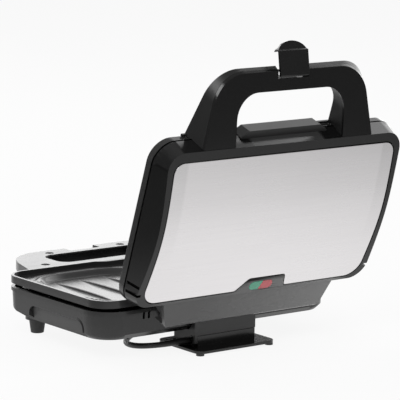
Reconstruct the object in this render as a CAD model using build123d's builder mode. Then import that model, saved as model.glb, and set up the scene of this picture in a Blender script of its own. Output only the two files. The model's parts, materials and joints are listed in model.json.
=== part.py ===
from build123d import *
import math
import os

os.makedirs("parts", exist_ok=True)

# Whole machine: millimetres, +Z up, +Y to the rear, origin on the table under the box centre
hinge_y = 84.22
hinge_z = 55.0
open_angle = 108.6
latch_angle = 57.0
wall = 2.5
cut_overrun = 1.0
skin_gap = 0.3

# Heating plates
plate_width = 290.0
plate_depth = 170.0
plate_radius = 22.0
plate_setback = 12.5
rim_front = plate_setback + plate_depth
parting_rise = 5.0
parting_gap = 0.4
rim_height = 7.5
rim_width = 3.0
land_drop = 5.0
land_inset = 11.5
cavity_inset = 14.5
cavity_drop = 10.0
web_thickness = 3.0
cavity_taper = 30.0
divider_width = 9.0
rib_width = 1.6
rib_height = 1.5
rib_pitch_share = 0.10172
rib_pitch = plate_width * rib_pitch_share
rib_count = 8
scallop_half_share = 0.10345
scallop_half = plate_width * scallop_half_share
scallop_depth = 6.0
plate_foot_radius = 5.0
screw_x_share = 0.38621
screw_x = plate_width * screw_x_share
screw_back_share = 0.15
screw_back = plate_setback + plate_depth * screw_back_share
screw_front_share = 0.75
screw_front = plate_setback + plate_depth * screw_front_share

# Base
base_bottom = 20.0
base_top = 48.5
base_back_radius = 30.0
base_draft = 3.0
chamfer_slope = 45.0
bead_height = 3.5
bead_step = 1.0
ledge_height = 38.0
ledge_depth = 9.0
grip_depth = 5.0
grip_top = 35.5
grip_front_share = 0.73824
grip_front = plate_setback + plate_depth * grip_front_share
grip_back_share = 0.19706
grip_back = plate_setback + plate_depth * grip_back_share
boss_radius = 6.0
screw_radius = 1.6
screw_head_radius = 3.2
screw_head_height = 2.2
reflector_level = 36.0
rear_chamfer = 5.0
slope_start_share = 0.76765
slope_start = plate_setback + plate_depth * slope_start_share
slope_points = [(0, 34.0), (12.5, 28.0), (32.5, 22.0)]
vent_width = 2.6
vent_pitch = 6.0
vent_x_share = 0.31379
vent_x = plate_width * vent_x_share
vent_low = 38.0
vent_length = 8.0
sheet = 0.8

# Hinge
pin_radius = 3.0
pin_fit = 0.06
lug_radius = 8.0
lug_inner = 60.0
lug_outer = 72.0
side_play = 0.5
knuckle_radius = 9.0
knuckle_width = 12.0

cover_half_top_share = 0.35862
cover_half_top = plate_width * cover_half_top_share
cover_half_low_share = 0.32759
cover_half_low = plate_width * cover_half_low_share
cover_end = 14.0
cover_bulge = 1.6
cover_top = 26.5
cover_end_top = 25.0
cover_low = 5.0
cover_corner = 5.0
cover_clearance = 1.5

# Parts under the lower plate
thermostat_radius = 8.5
thermostat_height = 4.6
thermostat_blade = 4.8
thermostat_blade_x = 5.0
fuse_radius = 2.4
fuse_length = 15.0
fuse_x = 30.0
terminal_length = 26.0
terminal_depth = 14.0
terminal_height = 10.0
terminal_pitch = 8.0
terminal_bore = 1.7
terminal_y_share = 0.19706
terminal_y = plate_setback + plate_depth * terminal_y_share
heater_radius = 3.3
heater_flat = 0.5
heater_half_share = 0.30345
heater_half = plate_width * heater_half_share
heater_inset_share = 0.26471
heater_inset = plate_depth * heater_inset_share
heater_leg = 24.0
heater_bend = 20.0
upper_foot = 6.6

# Feet and stand
foot_x_share = 0.40345
foot_x = plate_width * foot_x_share
foot_y_share = 0.87941
foot_y = plate_setback + plate_depth * foot_y_share
foot_bottom_radius = 6.5
foot_top_radius = 8.5
foot_height = 14.0
foot_boss_radius = 12.0
stand_half = 37.5
stand_back = 7.0
stand_front = 40.5
stand_rise = 40.0
plate_top = 5.0
pad_height = 2.3
stand_plate_half = 48.0
stand_plate_back = 14.0
stand_plate_front = 56.0
stand_plate_radius = 9.0
neck_half = 37.0
neck_top = 17.0
skirt_points = [(-40.5, 7.5), (-37.0, 7.5), (-27.0, 10.0), (-13.0, 15.0), (-7.0, 15.0)]
stand_screw_x = 24.0
stand_screw_y = 28.0
pad_x = 42.5
pad_y = 8.5
pad_radius = 4.0

# Handles: widths in the point lists are shares of the plate's width, reaches start at the front of the rim
handle_bottom = 46.5
handle_top = 58.5
cover_thickness = 1.5
notch_half = 18.3
base_notch_depth = 13.0
base_handle_reach = 77.5
base_loop_points = [(0.38552, 0.3), (0.33793, 48.0), (0.28966, 68.5), (0.21379, 77.5)]
slot_half_share = 0.21379
slot_half = plate_width * slot_half_share
slot_near_reach = 14.5
slot_far_reach = 56.5
slot_radius = 13.0
tongue_half_share = 0.35517
tongue_half = plate_width * tongue_half_share
base_screw_points = [(0.28276, 17.5), (0.15517, 65.0)]
lid_handle_low = 5.5
lid_handle_reach = 64.5
lid_face_start = 31.0
lid_face_start_reach = -5.5
lid_face_slope = 15.8
lid_cover_thickness = 2.4
far_points = [(0.38621, -12.5), (0.30586, 64.5)]
near_points = [(0.3569, -14.0), (0.29483, 62.0)]
handle_corner = 35.0
foot_flange_share = 0.38621
foot_flange_half = plate_width * foot_flange_share
foot_flange_reach = 2.5
foot_flange_height = 2.5
bar_half = 52.0
bar_top_half = 43.0
bar_reach = 6.0
bar_depth = 14.5
window_half_share = 0.22241
window_half = plate_width * window_half_share
window_start_reach = -30.0
window_reach = 43.8
window_radius = 24.0
lid_notch_reach = 54.8
lid_screw_points = [(0.28966, 22.0), (0.16552, 53.0)]

# Lid
lid_start = 15.0
lid_taper = 14.7
lid_height = 30.0
panel_side = 12.5
panel_near = 20.0
panel_front_margin = 14.1
panel_back_radius = 17.0
panel_front_radius = 11.0
panel_thickness = 1.0
panel_gap = 1.3
panel_notch = [(21.5, 20.0, 5.0), (8.5, 33.8, 5.5), (-36.0, 33.8, 4.0), (-39.5, 20.0, 2.5)]
lens_x = -9.4
lens_v = 23.8
lens_length = 28.0
lens_width = 9.8
lens_floor = 26.5
lens_split = -9.0
lens_slant = 3.2
crown_points = [(0.03, 25.5), (0.23, 32.0), (0.55, 38.6), (0.756, 36.3), (0.975, 31.1), (1.06, 28.6)]
side_vents = [31.0, 40.0]

# Latch
latch_half = 17.3
latch_reach = 60.5
latch_rise = 7.6
latch_root = 3.0
latch_foot = 5.8
latch_thick = 2.6
latch_tail = 7.0
latch_hook_top = 17.2
latch_hook_depth = 4.6
latch_lip_step = 1.8
latch_lip = 30.5
latch_pin_radius = 1.4
latch_arm_half = 9.0
latch_knuckle = 3.2

# Cord
cord_radius = 2.8
cord_height = 8.6
cord_line = 19.0
relief_end = 52.0
relief_radius = 3.4
relief_tip_radius = 3.1
coil_y = 132.0
coil_middle = 30.0
coil_half_turns = 4
coil_pitch = 7.4
coil_lead = 6.0
plug_start = 47.0
layer_gap = 0.6
floor_gap = 0.1
plug_length = 36.0
plug_half = 14.0
plug_pin_radius = 2.0
plug_pin_length = 19.0
plug_pin_half = 9.5

# Planes that the base and the open lid are drawn on
base_plane = Plane(origin=(0, hinge_y, 0), x_dir=(1, 0, 0), z_dir=(0, 0, 1))
base_side = Plane(origin=(0, hinge_y, 0), x_dir=(0, 1, 0), z_dir=(1, 0, 0))
lean = math.radians(open_angle)
hinge_point = (0, hinge_y, hinge_z)
lid_plane = Plane(origin=hinge_point, x_dir=(1, 0, 0), z_dir=(0, math.sin(lean), math.cos(lean)))
lid_side = Plane(origin=hinge_point, x_dir=(0, math.cos(lean), -math.sin(lean)), z_dir=(1, 0, 0))
plate_middle = -plate_setback - plate_depth / 2
lower_rim = hinge_z + parting_rise
upper_rim = parting_rise + parting_gap
screw_places = [(sx * screw_x, -y) for sx in (-1, 1) for y in (screw_back, screw_front)]


def save(builder, name):
    builder.part.label = name
    export_step(builder.part, f"parts/{name}.step")


# Outline of both plates, in from the rim by an inset
def rim_outline(inset):
    with Locations((0, plate_middle)):
        RectangleRounded(
            plate_width - inset * 2,
            plate_depth - inset * 2,
            max(plate_radius - inset, plate_radius * 0.2),
        )


# A slab of the base, which is rounder at the rear than the plates
def base_slab(level, height, inset, taper=0, mode=Mode.ADD):
    with BuildSketch(base_plane.offset(level)) as section:
        with Locations((0, plate_middle)):
            Rectangle(plate_width - inset * 2, plate_depth - inset * 2)
        fillet(section.vertices().group_by(Axis.Y)[0], plate_radius - inset)
        fillet(section.vertices().group_by(Axis.Y)[-1], base_back_radius - inset)
    extrude(section.sketch, amount=height, taper=taper, mode=mode)


# Middle of the front edge, where the rim steps back between the two bread places
def scallop(inset):
    edge = -rim_front + inset
    with BuildLine() as line:
        Polyline(
            (-scallop_half - scallop_depth, edge - cut_overrun),
            (-scallop_half - scallop_depth, edge),
            (-scallop_half + scallop_depth, edge + scallop_depth),
            (scallop_half - scallop_depth, edge + scallop_depth),
            (scallop_half + scallop_depth, edge),
            (scallop_half + scallop_depth, edge - cut_overrun),
            close=True,
        )
    make_face(line.edges())


# A heating plate with its open face at height 0 of the given plane, side 1 up and -1 down
def heating_plate(plane, side, foot_reach):
    def slab(depth, height, mode, shape, taper=0):
        with BuildSketch(plane.offset(-side * depth)) as section:
            shape()
        extrude(section.sketch, amount=-side * height, taper=taper, mode=mode)

    def cavities():
        half = plate_width / 2 - cavity_inset - divider_width / 2
        for sx in (-1, 1):
            with Locations((sx * (divider_width + half) / 2, plate_middle)):
                RectangleRounded(half, plate_depth - cavity_inset * 2, plate_radius * 0.5)

    def ribs():
        with Locations((0, plate_middle)):
            with GridLocations(rib_pitch, plate_depth, rib_count, 1):
                Rectangle(rib_width, plate_depth - cavity_inset * 2 - cavity_drop)

    def feet():
        with Locations(*screw_places):
            Circle(plate_foot_radius)

    def bores():
        with Locations(*screw_places):
            Circle(screw_radius)

    foot_level = cavity_drop + web_thickness
    cavity_depth = cavity_drop - land_drop
    slab(0, rim_height, Mode.ADD, lambda: rim_outline(0))
    slab(0, rim_height, Mode.SUBTRACT, lambda: rim_outline(rim_width))
    slab(land_drop, web_thickness, Mode.ADD, lambda: rim_outline(rim_width))
    slab(land_drop, cavity_depth + web_thickness, Mode.ADD, lambda: rim_outline(land_inset))
    slab(land_drop, cavity_depth, Mode.SUBTRACT, cavities, cavity_taper)
    slab(cavity_drop - rib_height, rib_height, Mode.ADD, ribs)
    slab(foot_level, foot_reach, Mode.ADD, feet)
    slab(foot_level + web_thickness, foot_reach - web_thickness, Mode.SUBTRACT, bores)


# Lower heating plate
lower_web = lower_rim - cavity_drop - web_thickness
lower_foot = lower_web - reflector_level - sheet
with BuildPart() as lower_plate:
    heating_plate(base_plane.offset(lower_rim), 1, lower_foot)
    with BuildSketch(base_plane.offset(lower_rim)):
        scallop(0)
    extrude(amount=-rim_height / 2, mode=Mode.SUBTRACT)
    with BuildSketch(base_plane.offset(lower_rim - land_drop)):
        scallop(rim_width)
    extrude(amount=land_drop)
    with BuildSketch(base_plane.offset(lower_rim)):
        scallop(0)
    extrude(amount=-land_drop / 2, mode=Mode.SUBTRACT)
save(lower_plate, "lower_plate")

# Upper heating plate
upper_web = upper_rim + cavity_drop + web_thickness
upper_reflector_level = upper_web + upper_foot
with BuildPart() as upper_plate:
    heating_plate(lid_plane.offset(upper_rim), -1, upper_foot)
save(upper_plate, "upper_plate")


# Bent tube heater under a plate, with a flat where it touches
with BuildPart() as lower_element:
    with BuildLine(base_plane.offset(lower_web - heater_radius + heater_flat)) as heater_path:
        FilletPolyline(
            (heater_leg, -plate_setback - heater_inset * 0.6),
            (heater_half, -plate_setback - heater_inset * 0.6),
            (heater_half, -rim_front + heater_inset),
            (-heater_half, -rim_front + heater_inset),
            (-heater_half, -plate_setback - heater_inset * 0.6),
            (-heater_leg, -plate_setback - heater_inset * 0.6),
            radius=heater_bend,
        )
    with BuildSketch(Plane(origin=heater_path.wires()[0] @ 0, z_dir=heater_path.wires()[0] % 0)):
        Circle(heater_radius)
    sweep()
    with BuildSketch(base_plane.offset(lower_web)):
        rim_outline(0)
    extrude(amount=heater_radius, mode=Mode.SUBTRACT)
save(lower_element, "lower_element")

with BuildPart() as upper_element:
    with BuildLine(lid_plane.offset(upper_web + heater_radius - heater_flat)) as upper_path:
        FilletPolyline(
            (heater_leg, -plate_setback - heater_inset * 0.6),
            (heater_half, -plate_setback - heater_inset * 0.6),
            (heater_half, -rim_front + heater_inset),
            (-heater_half, -rim_front + heater_inset),
            (-heater_half, -plate_setback - heater_inset * 0.6),
            (-heater_leg, -plate_setback - heater_inset * 0.6),
            radius=heater_bend,
        )
    with BuildSketch(Plane(origin=upper_path.wires()[0] @ 0, z_dir=upper_path.wires()[0] % 0)):
        Circle(heater_radius)
    sweep()
    with BuildSketch(lid_plane.offset(upper_web)):
        rim_outline(0)
    extrude(amount=-heater_radius, mode=Mode.SUBTRACT)
save(upper_element, "upper_element")


# Sheet tray between the heater and the plastic, open over the heater
tray_inset = 18.0
tray_lip = 2.4


def tray(plane, side, bore):
    with BuildSketch(plane) as floor:
        rim_outline(tray_inset)
        with Locations(*screw_places):
            Circle(bore, mode=Mode.SUBTRACT)
    extrude(floor.sketch, amount=side * sheet)
    with BuildSketch(plane.offset(side * sheet)) as lip:
        rim_outline(tray_inset)
        with Locations((0, plate_middle)):
            RectangleRounded(
                plate_width - (tray_inset + sheet) * 2,
                plate_depth - (tray_inset + sheet) * 2,
                plate_radius * 0.15,
                mode=Mode.SUBTRACT,
            )
    extrude(lip.sketch, amount=side * tray_lip)


with BuildPart() as lower_reflector:
    tray(base_plane.offset(reflector_level), 1, screw_radius + skin_gap)
save(lower_reflector, "lower_reflector")

with BuildPart() as upper_reflector:
    tray(lid_plane.offset(upper_reflector_level + sheet), -1, screw_radius + skin_gap)
save(upper_reflector, "upper_reflector")

# Base housing
front_slope = [(-rim_front + reach, z) for reach, z in slope_points] + [(-slope_start, base_bottom)]
floor_level = base_bottom + wall
stand_screw_places = [(-stand_screw_x, -stand_screw_y), (stand_screw_x, -stand_screw_y)]
stand_screw_end = 9.0
foot_pin_radius = 3.0
foot_pin_length = 6.0
recess_depth = 3.0
draft_loss = (base_top - base_bottom - rear_chamfer) * math.tan(math.radians(base_draft))
with BuildPart() as base_housing:
    base_slab(base_top, base_bottom + rear_chamfer - base_top, bead_step, base_draft)
    base_slab(base_bottom + rear_chamfer, -rear_chamfer, bead_step + draft_loss, chamfer_slope)
    base_slab(base_top - bead_height, bead_height, 0)
    with BuildSketch(base_side):
        with BuildLine():
            Polyline(
                (0, base_top),
                (0, base_bottom),
                *reversed(front_slope),
                (-rim_front, base_top),
                close=True,
            )
        make_face()
    extrude(amount=plate_width, both=True, mode=Mode.INTERSECT)
    base_slab(ledge_height, base_top - ledge_height, wall + bead_step, 0, Mode.SUBTRACT)
    with BuildSketch(base_side):
        with BuildLine():
            Polyline(
                (-plate_setback - wall - rear_chamfer * 0.3, ledge_height),
                (-plate_setback - wall - rear_chamfer, floor_level),
                (-slope_start, floor_level),
                (-rim_front + wall + bead_step, ledge_height - wall * 0.6),
                (-rim_front + wall + bead_step, ledge_height),
                close=True,
            )
        make_face()
    extrude(amount=plate_width / 2 - ledge_depth, both=True, mode=Mode.SUBTRACT)
    with BuildSketch(base_plane.offset(foot_height)):
        with Locations((-foot_x, -foot_y), (foot_x, -foot_y)):
            Circle(foot_boss_radius)
    extrude(amount=grip_top - foot_height)
    with BuildSketch(base_plane.offset(foot_height)):
        with Locations((-foot_x, -foot_y), (foot_x, -foot_y)):
            Circle(foot_pin_radius)
    extrude(amount=foot_pin_length, mode=Mode.SUBTRACT)
    for side in (-1, 1):
        grip_plane = base_side.offset(side * (plate_width / 2 - grip_depth))
        with BuildSketch(grip_plane):
            with BuildLine():
                FilletPolyline(
                    (-grip_front, base_bottom - cut_overrun),
                    (-grip_front, grip_top),
                    (-grip_back, grip_top),
                    (-grip_back, base_bottom - cut_overrun),
                    radius=plate_radius * 0.4,
                )
                Line(
                    (-grip_back, base_bottom - cut_overrun),
                    (-grip_front, base_bottom - cut_overrun),
                )
            make_face()
        extrude(amount=side * (grip_depth + cut_overrun), mode=Mode.SUBTRACT)
    with BuildSketch(base_plane.offset(floor_level)):
        with Locations(*screw_places):
            Circle(boss_radius)
    extrude(amount=reflector_level - floor_level)
    with BuildSketch(base_plane.offset(base_bottom - cut_overrun)):
        with Locations(*screw_places):
            Circle(screw_radius + skin_gap)
    extrude(amount=reflector_level - base_bottom + cut_overrun * 2, mode=Mode.SUBTRACT)
    with BuildSketch(base_plane.offset(base_bottom - cut_overrun)):
        with Locations(*screw_places):
            Circle(screw_head_radius + skin_gap)
    extrude(amount=recess_depth + screw_head_height + cut_overrun, mode=Mode.SUBTRACT)
    vent_middle = vent_low + vent_length / 2
    with BuildSketch(Plane(origin=(0, hinge_y - plate_setback, 0), x_dir=(1, 0, 0), z_dir=(0, -1, 0))):
        for side in (-1, 1):
            for step in (-0.5, 0.5):
                with Locations((side * (vent_x + step * vent_pitch), vent_middle)):
                    SlotOverall(vent_length, vent_width, rotation=90)
    extrude(amount=wall * 2.2, mode=Mode.SUBTRACT)
    for side in (-1, 1):
        lug_plane = base_side.offset(side * lug_inner)
        with BuildSketch(lug_plane):
            with Locations((0, hinge_z)):
                Circle(lug_radius)
            with BuildLine():
                Polyline(
                    (-plate_setback - wall * 0.4, base_bottom + rear_chamfer * 2),
                    (lug_radius, hinge_z),
                    (-lug_radius, hinge_z),
                    (-plate_setback, base_top - cut_overrun),
                    (-plate_setback - wall * 0.4, base_top - cut_overrun),
                    close=True,
                )
            make_face()
            with Locations((0, hinge_z)):
                Circle(pin_radius + pin_fit, mode=Mode.SUBTRACT)
        extrude(amount=side * (lug_outer - lug_inner))
    with BuildSketch(base_plane.offset(base_bottom)):
        with Locations(*stand_screw_places):
            Circle(screw_radius + skin_gap)
    extrude(amount=wall, mode=Mode.SUBTRACT)
save(base_housing, "base_housing")

# Base screws, heads up inside the floor recesses and threads in the plate feet
screw_seat = base_bottom + recess_depth + screw_head_height
with BuildPart() as base_screws:
    with BuildSketch(base_plane.offset(screw_seat)):
        with Locations(*screw_places):
            Circle(screw_head_radius)
    extrude(amount=-screw_head_height)
    with BuildSketch(base_plane.offset(screw_seat)):
        with Locations(*screw_places):
            Circle(screw_radius)
    extrude(amount=reflector_level + sheet + (lower_foot - web_thickness) * 0.8 - screw_seat)
save(base_screws, "base_screws")

# Front feet
with BuildPart() as front_feet:
    with BuildSketch(base_plane.offset(foot_height)):
        with Locations((-foot_x, -foot_y), (foot_x, -foot_y)):
            Circle(foot_top_radius)
    extrude(
        amount=-foot_height,
        taper=math.degrees(math.atan2(foot_top_radius - foot_bottom_radius, foot_height)),
    )
    with BuildSketch(base_plane.offset(foot_height)):
        with Locations((-foot_x, -foot_y), (foot_x, -foot_y)):
            Circle(foot_pin_radius)
    extrude(amount=foot_pin_length)
save(front_feet, "front_feet")

# Rear stand
fin_width = 3.5
pocket_half = neck_half - wall
skirt_low = skirt_points[0][1]
skirt_back = skirt_points[-1][1]
with BuildPart() as rear_stand:
    with BuildSketch(base_side):
        with BuildLine():
            Polyline(
                (-stand_back, stand_rise),
                (-plate_setback, stand_rise),
                (-plate_setback, base_bottom + rear_chamfer),
                (-plate_setback - rear_chamfer, base_bottom),
                (-stand_front, base_bottom),
                *skirt_points,
                close=True,
            )
        make_face()
    extrude(amount=stand_half, both=True)
    with BuildSketch(base_plane.offset(neck_top)):
        with Locations((0, -(stand_front + stand_back) / 2)):
            Rectangle(pocket_half * 2, stand_front - stand_back - wall * 2)
    extrude(amount=-neck_top, mode=Mode.SUBTRACT)
    with BuildSketch(base_plane.offset(skirt_back)):
        with Locations((stand_half - fin_width / 2, -stand_back - fin_width / 2)):
            Rectangle(fin_width, fin_width)
    extrude(amount=skirt_low - skirt_back)
    with BuildSketch(base_plane.offset(neck_top)):
        with Locations(*stand_screw_places):
            Circle(screw_radius + skin_gap)
    extrude(amount=base_bottom - neck_top, mode=Mode.SUBTRACT)
save(rear_stand, "rear_stand")

# Stand plate, with a foot as wide as the stand and a core that fills the stand's pocket
with BuildPart() as stand_plate:
    with BuildSketch(base_plane.offset(pad_height)):
        with Locations((0, (stand_plate_back - stand_plate_front) / 2)):
            RectangleRounded(stand_plate_half * 2, stand_plate_back + stand_plate_front, stand_plate_radius)
    extrude(amount=plate_top - pad_height)
    with BuildSketch(base_side):
        with BuildLine():
            Polyline(
                (-stand_front + skin_gap, plate_top - skin_gap),
                *[(max(y, -stand_front + skin_gap) - skin_gap * 0.5, z - skin_gap) for y, z in skirt_points],
                (-stand_back - skin_gap * 0.5, plate_top - skin_gap),
                close=True,
            )
        make_face()
    extrude(amount=neck_half, both=True)
    with BuildSketch(base_plane.offset(plate_top)):
        with Locations((stand_half - fin_width / 2, -stand_back - fin_width / 2)):
            Rectangle(fin_width + skin_gap * 2, fin_width + skin_gap * 2)
    extrude(amount=skirt_back, mode=Mode.SUBTRACT)
    with BuildSketch(base_plane.offset(plate_top)):
        with Locations((0, -(stand_front + stand_back) / 2)):
            RectangleRounded(
                (pocket_half - skin_gap) * 2,
                stand_front - stand_back - (wall + skin_gap) * 2,
                stand_plate_radius * 0.3,
            )
    extrude(amount=neck_top - plate_top)
    with BuildSketch(base_plane.offset(neck_top)):
        with Locations(*stand_screw_places):
            Circle(screw_radius)
    extrude(amount=-(neck_top - stand_screw_end), mode=Mode.SUBTRACT)
save(stand_plate, "stand_plate")

# Stand screws, down through the base floor into the neck
with BuildPart() as stand_screws:
    with BuildSketch(base_plane.offset(floor_level)):
        with Locations(*stand_screw_places):
            Circle(screw_head_radius)
    extrude(amount=screw_head_height)
    with BuildSketch(base_plane.offset(floor_level)):
        with Locations(*stand_screw_places):
            Circle(screw_radius)
    extrude(amount=-(floor_level - stand_screw_end))
save(stand_screws, "stand_screws")

# Rear pads
with BuildPart() as rear_pads:
    with BuildSketch(base_plane):
        with Locations((-pad_x, pad_y), (pad_x, pad_y)):
            Circle(pad_radius)
    extrude(amount=pad_height)
save(rear_pads, "rear_pads")


# Loop of the base handle seen from above
def base_loop():
    points = [(x * plate_width, -rim_front - reach) for x, reach in base_loop_points]
    with BuildLine() as line:
        Polyline(*[(-x, y) for x, y in points], *reversed(points), close=True)
    make_face(line.edges())


def base_slot():
    near, far = rim_front + slot_near_reach, rim_front + slot_far_reach
    with Locations((0, -(near + far) / 2)):
        RectangleRounded(slot_half * 2, far - near, slot_radius, mode=Mode.SUBTRACT)
    notch_middle = rim_front + base_handle_reach - base_notch_depth / 2 + cut_overrun / 2
    with Locations((0, -notch_middle)):
        Rectangle(notch_half * 2, base_notch_depth + cut_overrun, mode=Mode.SUBTRACT)


# Base handle with a tongue against the front wall of the housing
tongue_depth = 6.0
tongue_low = 38.0
handle_edge = 2.0
seam_level = handle_top - cover_thickness
handle_screws = [
    (side * x * plate_width, -rim_front - reach) for side in (-1, 1) for x, reach in base_screw_points
]
handle_screw_bore = 4.5
handle_screw_depth = 8.0
with BuildPart() as base_handle:
    with BuildSketch(base_plane.offset(handle_bottom)):
        base_loop()
        base_slot()
    extrude(amount=seam_level - handle_bottom)
    chamfer(base_handle.faces().sort_by(Axis.Z)[0].outer_wire().edges().filter_by(GeomType.LINE), handle_edge)
    with BuildSketch(base_plane.offset(tongue_low)):
        with Locations((0, -rim_front - tongue_depth / 2)):
            Rectangle(tongue_half * 2, tongue_depth)
    extrude(amount=base_top - tongue_low)
    with BuildSketch(base_plane.offset(seam_level)):
        with Locations(*handle_screws):
            Circle(screw_radius)
    extrude(amount=-handle_screw_depth, mode=Mode.SUBTRACT)
save(base_handle, "base_handle")

with BuildPart() as base_handle_cover:
    with BuildSketch(base_plane.offset(seam_level)):
        base_loop()
        base_slot()
        with Locations(*handle_screws):
            Circle(handle_screw_bore, mode=Mode.SUBTRACT)
    extrude(amount=cover_thickness)
save(base_handle_cover, "base_handle_cover")

with BuildPart() as base_handle_screws:
    with BuildSketch(base_plane.offset(seam_level)):
        with Locations(*handle_screws):
            Circle(handle_screw_bore - skin_gap)
            RegularPolygon(screw_radius, 6, mode=Mode.SUBTRACT)
    extrude(amount=cover_thickness * 0.6)
    with BuildSketch(base_plane.offset(seam_level)):
        with Locations(*handle_screws):
            Circle(screw_radius)
    extrude(amount=-handle_screw_depth)
save(base_handle_screws, "base_handle_screws")

# Crown of the lid, seen from the side
crown = [(share * rim_front, w) for share, w in crown_points]
crown_depth = 50.0
panel_half = plate_width / 2 - panel_side
panel_far = rim_front - panel_front_margin


def crown_band(drop, depth):
    top = [(-v, w - drop) for v, w in crown]
    low = [(-v, w - drop - depth) for v, w in crown]
    with BuildLine() as line:
        Spline(*top)
        Line(top[-1], low[-1])
        Spline(*reversed(low))
        Line(low[0], top[0])
    make_face(line.edges())


# Panel outline with the notch for the two lenses in its rear edge
def panel_sketch(level, grow):
    corners = [
        (-panel_half, panel_far, panel_front_radius),
        (panel_half, panel_far, panel_front_radius),
        (panel_half, panel_near, panel_back_radius),
        *panel_notch,
        (-panel_half, panel_near, panel_back_radius),
    ]
    with BuildSketch(lid_plane.offset(level)) as outline:
        with BuildLine() as line:
            Polyline(*[(x, -v) for x, v, radius in corners], close=True)
        make_face(line.edges())
        for x, v, radius in corners:
            near = outline.vertices().sort_by(lambda tip: (Vector(tip.X, tip.Y) - Vector(x, -v)).length)
            fillet(near[0], radius)
        if grow > 0:
            offset(amount=grow)
    return outline.sketch


# Tapered outer form of the lid, in by an inset
def lid_form(inset):
    with BuildSketch(lid_plane.offset(lid_start)) as section:
        rim_outline(inset)
    extrude(section.sketch, amount=lid_height, taper=lid_taper)


# Space inside the lid, and the bed that the steel panel lies in
with BuildPart() as lid_core:
    lid_form(wall)
    with BuildSketch(lid_side):
        crown_band(wall + panel_thickness, crown_depth)
    extrude(amount=plate_width, both=True, mode=Mode.INTERSECT)
with BuildPart() as panel_bed:
    extrude(panel_sketch(lid_start, panel_gap), amount=lid_height)
    with BuildSketch(lid_side):
        crown_band(-lid_height, lid_height + panel_thickness)
    extrude(amount=plate_width, both=True, mode=Mode.INTERSECT)

# Posts in the lid that the heating plate is screwed to
upper_boss_start = upper_reflector_level + sheet
lid_screw_seat = upper_boss_start + screw_head_height
with BuildPart() as lid_bosses:
    with BuildSketch(lid_plane.offset(upper_boss_start)):
        with Locations(*screw_places):
            Circle(boss_radius)
    extrude(amount=lid_height)
    with BuildSketch(lid_side):
        crown_band(panel_thickness + wall / 2, crown_depth)
    extrude(amount=plate_width, both=True, mode=Mode.INTERSECT)

# Lid housing
lamp_radius = 2.4
lamp_length = 8.0
lamp_places = [(-2.5, -lens_v), (-16.5, -lens_v)]
side_vent_low = 16.0
side_vent_high = 31.0
with BuildPart() as lid_housing:
    lid_form(0)
    with BuildSketch(lid_side):
        crown_band(0, crown_depth)
    extrude(amount=plate_width, both=True, mode=Mode.INTERSECT)
    add(lid_core.part, mode=Mode.SUBTRACT)
    add(panel_bed.part, mode=Mode.SUBTRACT)
    with BuildSketch(lid_plane.offset(lens_floor)):
        with Locations((lens_x, -lens_v)):
            SlotOverall(lens_length + skin_gap, lens_width + skin_gap)
    extrude(amount=lid_height, mode=Mode.SUBTRACT)
    with BuildSketch(lid_plane.offset(lid_start)):
        with Locations(*lamp_places):
            Circle(lamp_radius + skin_gap)
    extrude(amount=lid_height, mode=Mode.SUBTRACT)
    add(lid_bosses.part)
    with BuildSketch(lid_plane.offset(upper_boss_start)):
        with Locations(*screw_places):
            Circle(screw_radius + skin_gap)
    extrude(amount=lid_height, mode=Mode.SUBTRACT)
    with BuildSketch(lid_plane.offset(lid_screw_seat)):
        with Locations(*screw_places):
            Circle(screw_head_radius + skin_gap)
    extrude(amount=lid_height, mode=Mode.SUBTRACT)
    for side in (-1, 1):
        with BuildSketch(lid_plane.offset(side_vent_low)):
            for v in side_vents:
                with Locations((side * plate_width / 2, -v)):
                    Rectangle(plate_width * 0.06, 3.0)
        extrude(amount=side_vent_high - side_vent_low, mode=Mode.SUBTRACT)
save(lid_housing, "lid_housing")

# Steel panel, curved with the crown
with BuildPart() as steel_panel:
    extrude(panel_sketch(lid_start, 0), amount=lid_height)
    with BuildSketch(lid_side):
        crown_band(0, panel_thickness)
    extrude(amount=plate_width, both=True, mode=Mode.INTERSECT)
save(steel_panel, "steel_panel")

# Lid screws, heads under the steel panel
with BuildPart() as lid_screws:
    with BuildSketch(lid_plane.offset(lid_screw_seat)):
        with Locations(*screw_places):
            Circle(screw_head_radius)
    extrude(amount=screw_head_height * 0.6)
    with BuildSketch(lid_plane.offset(lid_screw_seat)):
        with Locations(*screw_places):
            Circle(screw_radius)
    extrude(amount=-(lid_screw_seat - upper_reflector_level + (upper_foot - web_thickness) * 0.8))
save(lid_screws, "lid_screws")


# The two lenses share one pill shape, cut by a slanted line
def lens(left):
    with BuildSketch(lid_plane.offset(lens_floor)) as pill:
        with Locations((lens_x, -lens_v)):
            SlotOverall(lens_length, lens_width)
        with BuildLine() as line:
            Polyline(
                (lens_split - lens_slant, -lens_v - lens_width),
                (lens_split + lens_slant, -lens_v + lens_width),
                (lens_split + lens_slant + left * lens_length, -lens_v + lens_width),
                (lens_split - lens_slant + left * lens_length, -lens_v - lens_width),
                close=True,
            )
        make_face(line.edges(), mode=Mode.SUBTRACT)
    extrude(pill.sketch, amount=lens_width)
    with BuildSketch(lid_side) as envelope:
        crown_band(-skin_gap, crown_depth)
    extrude(envelope.sketch, amount=plate_width, both=True, mode=Mode.INTERSECT)


with BuildPart() as green_lens:
    lens(-1)
save(green_lens, "green_lens")

with BuildPart() as red_lens:
    lens(1)
save(red_lens, "red_lens")

with BuildPart() as indicator_lamps:
    with BuildSketch(lid_plane.offset(lens_floor)):
        with Locations(*lamp_places):
            Circle(lamp_radius)
    extrude(amount=-lamp_length)
save(indicator_lamps, "indicator_lamps")

# Hinge cover, a wide block with a bulged underside, open ends and the knuckles inside
cover_wall = cover_clearance - plate_setback
wall_slope = math.tan(math.radians(lid_taper))
knuckles = [lug_inner - side_play - knuckle_width, lug_outer + side_play]


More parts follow.
